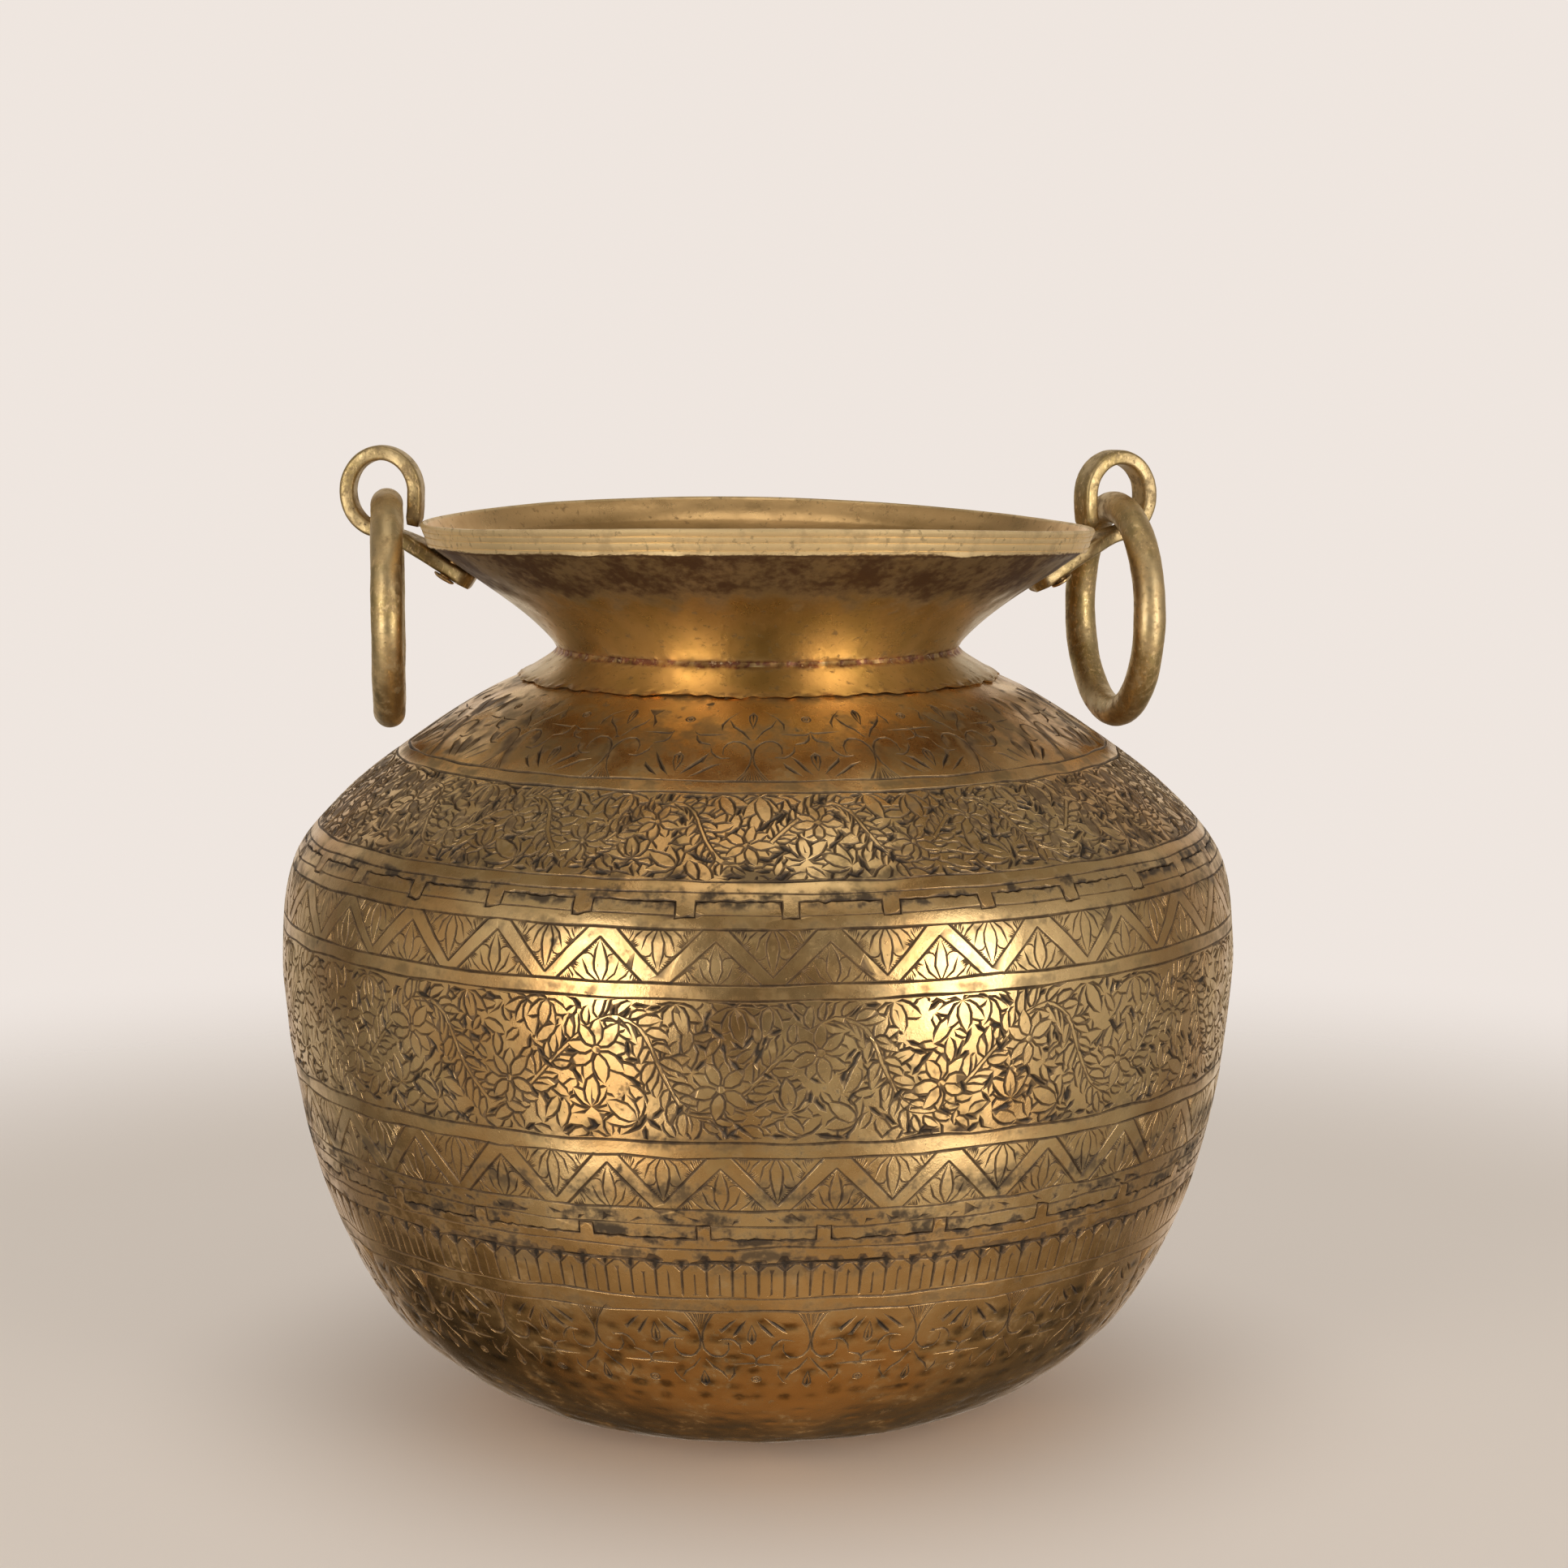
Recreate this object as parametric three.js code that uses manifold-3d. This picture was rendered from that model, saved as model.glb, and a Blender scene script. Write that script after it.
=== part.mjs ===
// Brass water pot: a body raised from three sheets joined by toothed seams, a flared
// collar with a folded hem, two riveted eye brackets and two hanging carrying rings.
// Millimetres, +Z up. The pot stands on the origin, its axis is the Z axis.
import * as THREE from 'three';
import { mergeVertices } from 'three/addons/utils/BufferGeometryUtils.js';
import Module from 'manifold-3d';

// ---- driving dimensions -------------------------------------------------------------
const WALL = 1.8;               // sheet thickness of the body and the collar
const GAP = 0.3;                // clearance left between touching pieces
const BODY_FACETS = 63;         // flats round the body
const COLLAR_FACETS = 60;       // flats round the collar

const FOOT_RADIUS = 66;         // flat the pot rests on
const UPPER_SEAM_Z = 250.7;     // shoulder meets drum, its teeth pointing down
const UPPER_TEETH = 31;
const UPPER_TOOTH_AZIMUTH = -86.6;  // degrees, middle of one tooth
const UPPER_TOOTH_LENGTH = 6.3;
const UPPER_TOOTH_WIDTH = 7.4;
const LOWER_SEAM_Z = 116;       // drum meets bowl, its teeth pointing up
const LOWER_TEETH = 26;
const LOWER_TOOTH_AZIMUTH = -82.5;
const LOWER_TOOTH_LENGTH = 5.8;
const LOWER_TOOTH_WIDTH = 6;
const OPENING_Z = 327.4;        // upper edge of the shoulder, under the collar's skirt

const CREASE = [88, 332.4];     // neck crease of the collar: radius, height
const LIP_Z = 392;              // top of the folded hem
const SAG = 5.9;                // how far the mouth has been pulled down at the two brackets
const LEAN = 1.5;               // and how much lower it lies on the right than on the left
const SAG_AZIMUTH = 7;          // degrees, direction of the sagging line

const LEFT_AZIMUTH = 176.4;     // degrees round from +X
const RIGHT_AZIMUTH = 14;
const RIGHT_DROP = 3;           // the right bracket sits lower on the leaning mouth
const RIGHT_EYE_TWIST = 9;      // degrees, the right eye is bent out of line

const EYE_CENTRE = [166, 400.2];  // radius, height
const EYE_HALF = [15, 17];        // half width and half height of the eye's centre line
const FOOT_START = [126.1, 360.4];
const FOOT_END = [143.1, 371.4];
const FOOT_THICK = 7.4;
const EYE_THICK = 6.6;
const FOOT_WIDTH = 28;
const EYE_WIDTH = 14;

const RING_RADIUS = 46;         // centre line of the ring
const RING_WIRE = 7;            // radius of its round bar
const RING_REST = 0.7;          // wire clear of the eye's floor in the middle of the bar
const LEFT_RING_TURN = 9;       // degrees, the left ring hangs turned in its eye
const LEFT_RING_IN = 2;         // and nearer the pot than the eye's middle

const RIVET_SPREAD = 4.1;       // degrees each side of the bracket's middle
const RIVET_AT = 0.55;          // share of the straight part of the foot
const RIVET_SHANK = 2.4;
const RIVET_HEAD = 4.9;

const RAD = Math.PI / 180;

// ---- helpers ------------------------------------------------------------------------
const wasm = await Module();
wasm.setup();

function bare(geometry) {
  const g = geometry.clone();
  for (const name of Object.keys(g.attributes)) {
    if (name !== 'position') g.deleteAttribute(name);
  }
  return mergeVertices(g, 1e-4);
}

function toSolid(geometry) {
  const g = bare(geometry);
  return new wasm.Manifold(new wasm.Mesh({
    numProp: 3,
    vertProperties: new Float32Array(g.attributes.position.array),
    triVerts: new Uint32Array(g.index.array),
  }));
}

function toGeometry(solid) {
  const m = solid.getMesh();
  const g = new THREE.BufferGeometry();
  g.setAttribute('position', new THREE.BufferAttribute(new Float32Array(m.vertProperties), 3));
  g.setIndex(new THREE.BufferAttribute(new Uint32Array(m.triVerts), 1));
  return g;
}

function mesh(name, geometry, colour) {
  const g = geometry.index ? geometry.toNonIndexed() : geometry;
  g.computeVertexNormals();
  const material = new THREE.MeshStandardMaterial({
    color: colour, metalness: 0.9, roughness: 0.4, name: `${name}_brass`,
  });
  const m = new THREE.Mesh(g, material);
  m.name = name;
  return m;
}

// Turn a closed list of [radius, height] pairs round the Z axis.
function turn(points, facets) {
  const profile = points.map(([r, z]) => new THREE.Vector2(r, z));
  return new THREE.LatheGeometry(profile, facets).rotateX(Math.PI / 2);
}

// ---- body outline -------------------------------------------------------------------
// Outside of the three body sheets, from the flat foot up to the opening.
const bodyCurve = new THREE.CatmullRomCurve3([
  [FOOT_RADIUS, 0], [88, 1.8], [115.8, 7.7], [140.2, 21.8], [161.7, 40.6], [177.8, 64.4],
  [189.6, 90.4], [198, 117.6], [204.2, 145.5], [207.9, 174.2], [209.8, 204], [206.9, 233],
  [200.8, 248.1], [180.1, 271], [156.6, 289.4], [121.8, 312.2], [104, 320.6], [90, OPENING_Z],
].map(([r, z]) => new THREE.Vector3(r, 0, z)), false, 'centripetal');

// Point on the outline, moved inward along the wall's normal.
function bodyPoint(t, inward) {
  const p = bodyCurve.getPoint(t);
  const d = bodyCurve.getTangent(t);
  return [p.x - d.z * inward, p.z + d.x * inward];
}

function paramAtHeight(z, inward) {
  let lo = 0;
  let hi = 1;
  for (let i = 0; i < 40; i += 1) {
    const mid = (lo + hi) / 2;
    if (bodyPoint(mid, inward)[1] < z) lo = mid;
    else hi = mid;
  }
  return (lo + hi) / 2;
}

function outlineBetween(zLow, zHigh, inward, count) {
  const a = paramAtHeight(zLow, inward);
  const b = paramAtHeight(zHigh, inward);
  const points = [];
  for (let i = 0; i <= count; i += 1) points.push(bodyPoint(a + (b - a) * i / count, inward));
  return points;
}

// Sheet between two heights, open at both ends.
function sheetBetween(zLow, zHigh, outerCount, innerCount) {
  const outer = outlineBetween(zLow, zHigh, 0, outerCount);
  const inner = outlineBetween(zLow, zHigh, WALL, innerCount).reverse();
  return turn([...outer, ...inner, outer[0]], BODY_FACETS);
}

// Wedge-shaped cutter round part of the body's edge.
function sector(middle, halfAngle, zLow, zHigh) {
  const inner = 180;
  const outer = 225;
  const shape = new THREE.Shape();
  shape.moveTo(inner * Math.cos(middle - halfAngle), inner * Math.sin(middle - halfAngle));
  shape.lineTo(outer * Math.cos(middle - halfAngle), outer * Math.sin(middle - halfAngle));
  shape.lineTo(outer * Math.cos(middle + halfAngle), outer * Math.sin(middle + halfAngle));
  shape.lineTo(inner * Math.cos(middle + halfAngle), inner * Math.sin(middle + halfAngle));
  const g = new THREE.ExtrudeGeometry(shape, { depth: zHigh - zLow, bevelEnabled: false });
  return toSolid(g.translate(0, 0, zLow));
}

// Cut one wedge per tooth, the first centred at a given azimuth in degrees.
function cutRound(solid, count, azimuth, halfAngle, zLow, zHigh) {
  let result = solid;
  for (let i = 0; i < count; i += 1) {
    const middle = azimuth * RAD + i * 2 * Math.PI / count;
    result = result.subtract(sector(middle, halfAngle, zLow, zHigh));
  }
  return result;
}

const upperToothHalf = UPPER_TOOTH_WIDTH / 2 / 200;
const lowerToothHalf = LOWER_TOOTH_WIDTH / 2 / 198;
const clearAngle = GAP / 200;
const upperGapAzimuth = UPPER_TOOTH_AZIMUTH + 180 / UPPER_TEETH;
const lowerGapAzimuth = LOWER_TOOTH_AZIMUTH + 180 / LOWER_TEETH;

function shoulder() {
  const toothTip = UPPER_SEAM_Z - UPPER_TOOTH_LENGTH;
  const sheet = toSolid(sheetBetween(toothTip, OPENING_Z, 8, 5));
  const between = Math.PI / UPPER_TEETH - upperToothHalf;
  const solid = cutRound(sheet, UPPER_TEETH, upperGapAzimuth, between, toothTip - 5, UPPER_SEAM_Z);
  return mesh('shoulder', toGeometry(solid), 0xb8923f);
}

function drum() {
  const top = UPPER_SEAM_Z - GAP;
  const bottom = LOWER_SEAM_Z + GAP;
  const sheet = toSolid(sheetBetween(bottom, top, 8, 5));
  const upperSlot = upperToothHalf + clearAngle;
  const lowerSlot = lowerToothHalf + clearAngle;
  const upperEnd = UPPER_SEAM_Z - UPPER_TOOTH_LENGTH - GAP;
  const lowerEnd = LOWER_SEAM_Z + LOWER_TOOTH_LENGTH + GAP;
  const slotted = cutRound(sheet, UPPER_TEETH, UPPER_TOOTH_AZIMUTH, upperSlot, upperEnd, top + 5);
  const solid = cutRound(slotted, LOWER_TEETH, LOWER_TOOTH_AZIMUTH, lowerSlot, bottom - 5, lowerEnd);
  return mesh('drum', toGeometry(solid), 0xb8923f);
}

function bowl() {
  const toothTip = LOWER_SEAM_Z + LOWER_TOOTH_LENGTH;
  const outer = outlineBetween(0.01, toothTip, 0, 9);
  const inner = outlineBetween(WALL, toothTip, WALL, 6).reverse();
  const profile = [[0, 0], [FOOT_RADIUS, 0], ...outer.slice(1), ...inner, [0, WALL]];
  const sheet = toSolid(turn(profile, BODY_FACETS));
  const between = Math.PI / LOWER_TEETH - lowerToothHalf;
  const solid = cutRound(sheet, LOWER_TEETH, lowerGapAzimuth, between, LOWER_SEAM_Z, toothTip + 5);
  return mesh('bowl', toGeometry(solid), 0xb07f33);
}

// ---- collar -------------------------------------------------------------------------
// How far the mouth is pulled down at an azimuth, for a point at an unbent height.
function sagAt(azimuth, z) {
  const share = THREE.MathUtils.clamp((z - CREASE[1]) / (LIP_Z - CREASE[1]), 0, 1);
  const pull = SAG * Math.cos(azimuth - SAG_AZIMUTH * RAD) ** 2 + LEAN * Math.cos(azimuth);
  return share * pull;
}

const SKIRT_OUTER = [[105.5, 322.3], [99, 325.6], [92, 329.8]];
const FUNNEL_OUTER = [
  CREASE, [91.6, 338], [99.5, 346.5], [108.6, 354.6], [118.8, 362.6], [130.5, 371.4], [142, 380.6],
];
const HEM_OUTER = [[144.2, 381.4], [145.9, 386.6], [147.6, 390.6]];
const LIP = [[147.2, 391.8], [146.2, LIP_Z], [145.2, 391.4]];
const FUNNEL_INNER = [
  [140.8, 382.1], [129.3, 372.8], [117.6, 364], [107.3, 355.9], [98.1, 347.8], [89.9, 338.8],
  [86, 333],
];
const SKIRT_INNER = [[87.2, 329.2], [90.3, 328.2], [97.4, 324.7], [105, 321]];

function collar() {
  const loop = [
    ...SKIRT_OUTER, ...FUNNEL_OUTER, ...HEM_OUTER, ...LIP, ...FUNNEL_INNER, ...SKIRT_INNER,
    SKIRT_OUTER[0],
  ];
  const g = turn(loop, COLLAR_FACETS);
  const p = g.attributes.position;
  for (let i = 0; i < p.count; i += 1) {
    const azimuth = Math.atan2(p.getY(i), p.getX(i));
    p.setZ(i, p.getZ(i) - sagAt(azimuth, p.getZ(i)));
  }
  return g;
}

// ---- brackets -----------------------------------------------------------------------
// Centre line of the forged bar in the radius/height plane: straight foot under the
// funnel, easing out into the eye, which closes with its free end beside the lip.
function barPath() {
  const [cx, cz] = EYE_CENTRE;
  const [a, b] = EYE_HALF;
  const start = -80 * RAD;
  const join = new THREE.Vector2(cx + a * Math.cos(start), cz + b * Math.sin(start));
  const heading = new THREE.Vector2(-a * Math.sin(start), b * Math.cos(start)).normalize();
  const p0 = new THREE.Vector2(...FOOT_START);
  const p1 = new THREE.Vector2(...FOOT_END);
  const along = p1.clone().sub(p0).normalize();
  const reach = 9;
  const path = new THREE.CurvePath();
  path.add(new THREE.LineCurve(p0, p1));
  path.add(new THREE.CubicBezierCurve(
    p1, p1.clone().addScaledVector(along, reach), join.clone().addScaledVector(heading, -reach), join,
  ));
  path.add(new THREE.EllipseCurve(cx, cz, a, b, start, Math.PI));
  path.add(new THREE.QuadraticBezierCurve(
    new THREE.Vector2(cx - a, cz), new THREE.Vector2(cx - a, cz - 9),
    new THREE.Vector2(cx - a + 1.4, cz - 15),
  ));
  return path;
}

const ramp = (x, from, to) => THREE.MathUtils.smoothstep(x, from, to);

// Half width and half thickness of the bar at a distance along its centre line.
function barSection(s, total) {
  const rounding = Math.sqrt(Math.min(1, (s + 1.2) / 6));
  const tail = Math.sqrt(Math.min(1, (total - s + 1.5) / 5));
  const neck = ramp(s, 27, 43);
  const width = (FOOT_WIDTH * (1 - neck) + EYE_WIDTH * neck) * Math.min(rounding, tail);
  const thick = (FOOT_THICK + (EYE_THICK - FOOT_THICK) * neck) * (0.55 + 0.45 * tail);
  return [width / 2, thick / 2];
}

// Corners of the chamfered section, as shares across and through the bar.
function sectionLoop(w, h) {
  const c = 1.3;
  return [
    [w, -h + c], [w, h - c], [w - c, h], [-w + c, h],
    [-w, h - c], [-w, -h + c], [-w + c, -h], [w - c, -h],
  ];
}

function bracket(twist) {
  const path = barPath();
  const total = path.getLength();
  const stations = 34;
  const rows = [];
  for (let i = 0; i <= stations; i += 1) {
    const u = i / stations;
    const p = path.getPointAt(u);
    const d = path.getTangentAt(u);
    const turnBy = twist * RAD * ramp(u * total, 27, 45);
    const [w, h] = barSection(u * total, total);
    rows.push(sectionLoop(w, h).map(([across, up]) => {
      const r = p.x - d.y * up;
      const x = EYE_CENTRE[0] + (r - EYE_CENTRE[0]) * Math.cos(turnBy) - across * Math.sin(turnBy);
      const y = (r - EYE_CENTRE[0]) * Math.sin(turnBy) + across * Math.cos(turnBy);
      const round = y / x;
      return [x * Math.cos(round), x * Math.sin(round), p.y + d.x * up];
    }));
  }
  return skinned(rows);
}

// Closed body through a row of equal loops, capped at both ends.
function skinned(rows) {
  const n = rows[0].length;
  const position = rows.flat(2);
  const index = [];
  for (let i = 0; i + 1 < rows.length; i += 1) {
    for (let j = 0; j < n; j += 1) {
      const a = i * n + j;
      const b = i * n + (j + 1) % n;
      index.push(a, b, a + n, b, b + n, a + n);
    }
  }
  const last = (rows.length - 1) * n;
  for (let j = 1; j + 1 < n; j += 1) {
    index.push(0, j + 1, j);
    index.push(last, last + j, last + j + 1);
  }
  const g = new THREE.BufferGeometry();
  g.setAttribute('position', new THREE.Float32BufferAttribute(position, 3));
  g.setIndex(index);
  return g;
}

// ---- rivets -------------------------------------------------------------------------
// Where a rivet crosses the middle of the foot plate, and its axis pointing into the mouth.
function rivetFrame() {
  const along = new THREE.Vector2(FOOT_END[0] - FOOT_START[0], FOOT_END[1] - FOOT_START[1]);
  const at = new THREE.Vector2(...FOOT_START).addScaledVector(along, RIVET_AT);
  return { at, tilt: Math.atan2(along.y, along.x) };
}

// Everything above the foot's upper face the shank has to reach through.
const CLAMPED = 2.1 + WALL;

function rivetSolid(radius, from, to) {
  const g = new THREE.CylinderGeometry(radius, radius, to - from, 12);
  return g.rotateX(Math.PI / 2).translate(0, 0, (from + to) / 2);
}

function rivetProfile() {
  const under = -FOOT_THICK / 2 - GAP;
  const seat = FOOT_THICK / 2 + CLAMPED + GAP;
  return [
    [0, under - 1.3], [RIVET_HEAD - 0.6, under - 1.2], [RIVET_HEAD, under - 0.6], [RIVET_HEAD, under],
    [RIVET_SHANK, under], [RIVET_SHANK, seat], [RIVET_HEAD, seat], [RIVET_HEAD - 0.5, seat + 1.3],
    [RIVET_HEAD - 2.4, seat + 2.3], [0, seat + 2.7],
  ];
}

// Stand a piece made along Z on a bracket's foot.
function placeRivet(geometry, side) {
  const { at, tilt } = rivetFrame();
  return geometry.rotateY(-tilt).translate(at.x, 0, at.y).rotateZ(side * RIVET_SPREAD * RAD);
}

// ---- assembly -----------------------------------------------------------------------
function placeBracket(geometry, side) {
  const azimuth = side === 'left' ? LEFT_AZIMUTH : RIGHT_AZIMUTH;
  const drop = side === 'left' ? 0 : RIGHT_DROP;
  return geometry.rotateZ(azimuth * RAD).translate(0, 0, -drop);
}

function bracketWithHoles(side) {
  let solid = toSolid(placeBracket(bracket(side === 'left' ? 0 : RIGHT_EYE_TWIST), side));
  for (const half of [-1, 1]) {
    const hole = placeRivet(rivetSolid(RIVET_SHANK + GAP, -6, 6), half);
    solid = solid.subtract(toSolid(placeBracket(hole, side)));
  }
  return mesh(`bracket_${side}`, toGeometry(solid), 0x8f7a45);
}

function collarWithHoles() {
  let solid = toSolid(collar());
  for (const side of ['left', 'right']) {
    for (const half of [-1, 1]) {
      const hole = placeRivet(rivetSolid(RIVET_SHANK + GAP, 0, 14), half);
      solid = solid.subtract(toSolid(placeBracket(hole, side)));
    }
  }
  return mesh('collar', toGeometry(solid), 0xb08a3c);
}

function rivet(side, half, label) {
  const g = turn(rivetProfile(), 12);
  return mesh(`rivet_${side}_${label}`, placeBracket(placeRivet(g, half), side), 0x8f7a45);
}

function ring(side) {
  const floor = EYE_CENTRE[1] - EYE_HALF[1] + EYE_THICK / 2;
  const top = floor + RING_REST + RING_WIRE + EYE_WIDTH ** 2 / 8 / RING_RADIUS;
  const [turned, inward] = side === 'left' ? [LEFT_RING_TURN, LEFT_RING_IN] : [0, 0];
  const g = new THREE.TorusGeometry(RING_RADIUS, RING_WIRE, 12, 40);
  g.rotateY(Math.PI / 2).rotateZ(turned * RAD);
  g.translate(EYE_CENTRE[0] - inward, 0, top - RING_RADIUS);
  return mesh(`ring_${side}`, placeBracket(bare(g), side), 0x9a8246);
}

const part = new THREE.Group();
part.name = 'brass_water_pot';
part.add(collarWithHoles(), shoulder(), drum(), bowl());
for (const side of ['left', 'right']) {
  part.add(bracketWithHoles(side), ring(side));
  part.add(rivet(side, -1, 'a'), rivet(side, 1, 'b'));
}

export default part;
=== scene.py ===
"""Brass water pot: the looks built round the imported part.

The three body sheets are engraved in their geometry. Every cut is collected as a stroke on the
unrolled body, as azimuth in degrees from the front and level in millimetres measured up the
outline, and each sheet is then triangulated along its strokes, its edges and its hammer marks.
"""

import math

import bpy
import numpy as np
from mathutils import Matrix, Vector, kdtree, noise
from mathutils.geometry import delaunay_2d_cdt


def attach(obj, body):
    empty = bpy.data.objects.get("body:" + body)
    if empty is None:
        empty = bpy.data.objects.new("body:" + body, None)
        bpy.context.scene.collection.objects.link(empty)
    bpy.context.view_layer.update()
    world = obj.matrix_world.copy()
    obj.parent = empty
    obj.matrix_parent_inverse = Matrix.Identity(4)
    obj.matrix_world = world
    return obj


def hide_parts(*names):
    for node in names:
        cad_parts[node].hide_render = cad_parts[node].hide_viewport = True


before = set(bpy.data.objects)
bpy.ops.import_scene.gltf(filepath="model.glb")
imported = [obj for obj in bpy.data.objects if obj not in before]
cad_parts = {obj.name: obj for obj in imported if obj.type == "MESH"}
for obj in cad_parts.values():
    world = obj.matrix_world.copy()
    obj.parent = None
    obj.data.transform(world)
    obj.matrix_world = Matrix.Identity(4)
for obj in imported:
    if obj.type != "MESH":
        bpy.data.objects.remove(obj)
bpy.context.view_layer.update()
MM = 0.001

# ---- dimensions, in millimetres and degrees, as in the part --------------------------------
WALL = 1.8
GAP = 0.3
# Body, CREASE at the neck and lip as (radius, height); the mouth sags along SAG_AZIMUTH.
OUTLINE = [
    (66, 0), (88, 1.8), (115.8, 7.7), (140.2, 21.8), (161.7, 40.6), (177.8, 64.4),
    (189.6, 90.4), (198, 117.6), (204.2, 145.5), (207.9, 174.2), (209.8, 204), (206.9, 233),
    (200.8, 248.1), (180.1, 271), (156.6, 289.4), (121.8, 312.2), (104, 320.6), (90, 327.4),
]
CREASE = (88, 332.4)
LIP_Z = 392
SAG, LEAN, SAG_AZIMUTH = 5.9, 1.5, 7
# Each side's azimuth from +X, how far the sagging mouth drops it, the twist of its eye, and
# how far its ring stands turned and inward of the eye.
SIDES = {
    "left": {"azimuth": 176.4, "drop": 0, "twist": 0, "ring_turn": 9, "ring_in": 2},
    "right": {"azimuth": 14, "drop": 3, "twist": 9, "ring_turn": 0, "ring_in": 0},
}
EYE_CENTRE, EYE_HALF = (166, 400.2), (15, 17)
FOOT_START, FOOT_END = (126.1, 360.4), (143.1, 371.4)
FOOT_THICK, EYE_THICK = 7.4, 6.6
FOOT_WIDTH, EYE_WIDTH = 28, 14
RING_RADIUS, RING_WIRE, RING_REST = 46, 7, 0.7
RIVET_SPREAD, RIVET_AT, RIVET_SHANK, RIVET_HEAD = 4.1, 0.55, 2.4, 4.9

UPPER_SEAM, LOWER_SEAM = 329.5, 192.0   # levels of the two toothed seams
UPPER_TEETH = {"count": 31, "first": 3.4, "length": -6.6, "width": 7.4}
LOWER_TEETH = {"count": 26, "first": 7.5, "length": 5.6, "width": 6.0}
BACK = 180          # azimuth where the unrolled body meets itself
MEAN_RADIUS = 200   # of the body, for the length of its hammer waves


# ---- curves and surfaces of the body --------------------------------------------------------
def spline(points, per_span):
    """Centripetal Catmull-Rom curve through the points."""
    p = np.array(points, float)
    p = np.vstack([2 * p[0] - p[1], p, 2 * p[-1] - p[-2]])
    s = np.linspace(0, 1, per_span, endpoint=False)[:, None]
    rows = []
    for a, b, c, d in zip(p, p[1:], p[2:], p[3:]):
        ka, kb, kc = (math.sqrt(np.linalg.norm(y - x)) for x, y in ((a, b), (b, c), (c, d)))
        t1 = kb * ((b - a) / ka - (c - a) / (ka + kb)) + c - b
        t2 = c - b - kb * (d - b) / (kb + kc) + kb * (d - c) / kc
        rows.append(b + t1 * s + (3 * (c - b) - 2 * t1 - t2) * s**2 + (2 * (b - c) + t1 + t2) * s**3)
    return np.vstack([*rows, p[-2:-1]])


def lengths(points):
    """Distance along a polyline at each of its points."""
    steps = np.linalg.norm(np.diff(points, axis=0), axis=1)
    return np.concatenate([[0], np.cumsum(steps)])


def points_at(at, along, line):
    """Points of a polyline at distances along it."""
    return np.stack([np.interp(at, along, line[:, k]) for k in (0, 1)], 1)


def unit(v):
    return v / np.maximum(np.linalg.norm(v, axis=-1, keepdims=True), 1e-12)


outline = spline(OUTLINE, 40)
LEVEL = lengths(outline)
outline_slope = unit(np.gradient(outline, LEVEL, axis=0))


def radius_at(level):
    return np.interp(level, LEVEL, outline[:, 0])


def body_frame(azimuth, level):
    """Point on the body and its outward, sideways and upward directions, azimuth from the front."""
    theta = np.radians(np.asarray(azimuth) - 90)
    c, s, o = np.cos(theta), np.sin(theta), np.zeros_like(theta)
    r, z = (np.interp(level, LEVEL, outline[:, k]) for k in (0, 1))
    dr, dz = (np.interp(level, LEVEL, outline_slope[:, k]) for k in (0, 1))
    point = np.stack([r * c, r * s, z], 1)
    outward = unit(np.stack([dz * c, dz * s, -dr], 1))
    sideways = np.stack([-s, c, o], 1)
    upward = np.cross(outward, sideways)
    return point, outward, sideways, upward


def mm_per_degree(level):
    return radius_at(level) * math.pi / 180


def true_scale(points):
    """Millimetres in a degree and in a millimetre of level, at each (azimuth, level) point."""
    return np.stack([mm_per_degree(points[:, 1]), np.ones(len(points))], 1)


def wrap(azimuth):
    """The same azimuth between the two backs."""
    return (azimuth + BACK) % 360 - BACK


def circle(count):
    """Angles of evenly spaced points once round."""
    return np.linspace(0, 2 * math.pi, count, endpoint=False)


# ---- meshes ---------------------------------------------------------------------------------
def new_object(name, data):
    obj = bpy.data.objects.new(name, data)
    bpy.context.scene.collection.objects.link(obj)
    return obj


def make_mesh(name, points, triangles, normals=None, values=None):
    """A mesh object from points in millimetres. normals has one direction per triangle corner."""
    mesh = bpy.data.meshes.new(name)
    tri = np.asarray(triangles, np.int32)
    whole = np.all(tri != np.roll(tri, 1, 1), axis=1)
    _, first = np.unique(np.sort(tri, 1), axis=0, return_index=True)
    whole &= np.isin(np.arange(len(tri)), first)
    tri = tri[whole]
    mesh.vertices.add(len(points))
    mesh.vertices.foreach_set("co", (np.asarray(points) * MM).astype(np.float32).ravel())
    mesh.loops.add(tri.size)
    mesh.loops.foreach_set("vertex_index", tri.ravel())
    mesh.polygons.add(len(tri))
    mesh.polygons.foreach_set("loop_start", np.arange(0, tri.size, 3, dtype=np.int32))
    for key, value in (values or {}).items():
        attribute = mesh.attributes.new(key, "FLOAT", "POINT")
        attribute.data.foreach_set("value", np.asarray(value, np.float32))
    mesh.polygons.foreach_set("use_smooth", np.ones(len(tri), bool))
    mesh.update(calc_edges=True)
    mesh.validate()
    if normals is not None:
        mesh.normals_split_custom_set(np.asarray(normals, np.float32)[whole].reshape(-1, 3))
    return new_object(name, mesh)


def grid_triangles(rows, columns, close_rows, close_columns):
    """Triangles of a rows by columns grid of points, wrapped round where asked."""
    i = np.arange(rows if close_rows else rows - 1)[:, None]
    j = np.arange(columns if close_columns else columns - 1)[None]
    a = i * columns + j
    b = i * columns + (j + 1) % columns
    c = (i + 1) % rows * columns + j
    d = (i + 1) % rows * columns + (j + 1) % columns
    return np.stack([a, b, d, a, d, c], -1).reshape(-1, 3)


def face_normals(points, triangles):
    a, b, c = (points[triangles[:, k]] for k in range(3))
    return unit(np.cross(b - a, c - a))


def turned(profile, azimuths):
    """Points of a profile of (radius, height) turned to each azimuth, in radians from +X."""
    c, s = np.cos(azimuths)[:, None], np.sin(azimuths)[:, None]
    r, z = profile[None, :, 0], profile[None, :, 1]
    return np.stack([r * c, r * s, z + 0 * c], -1)


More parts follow.
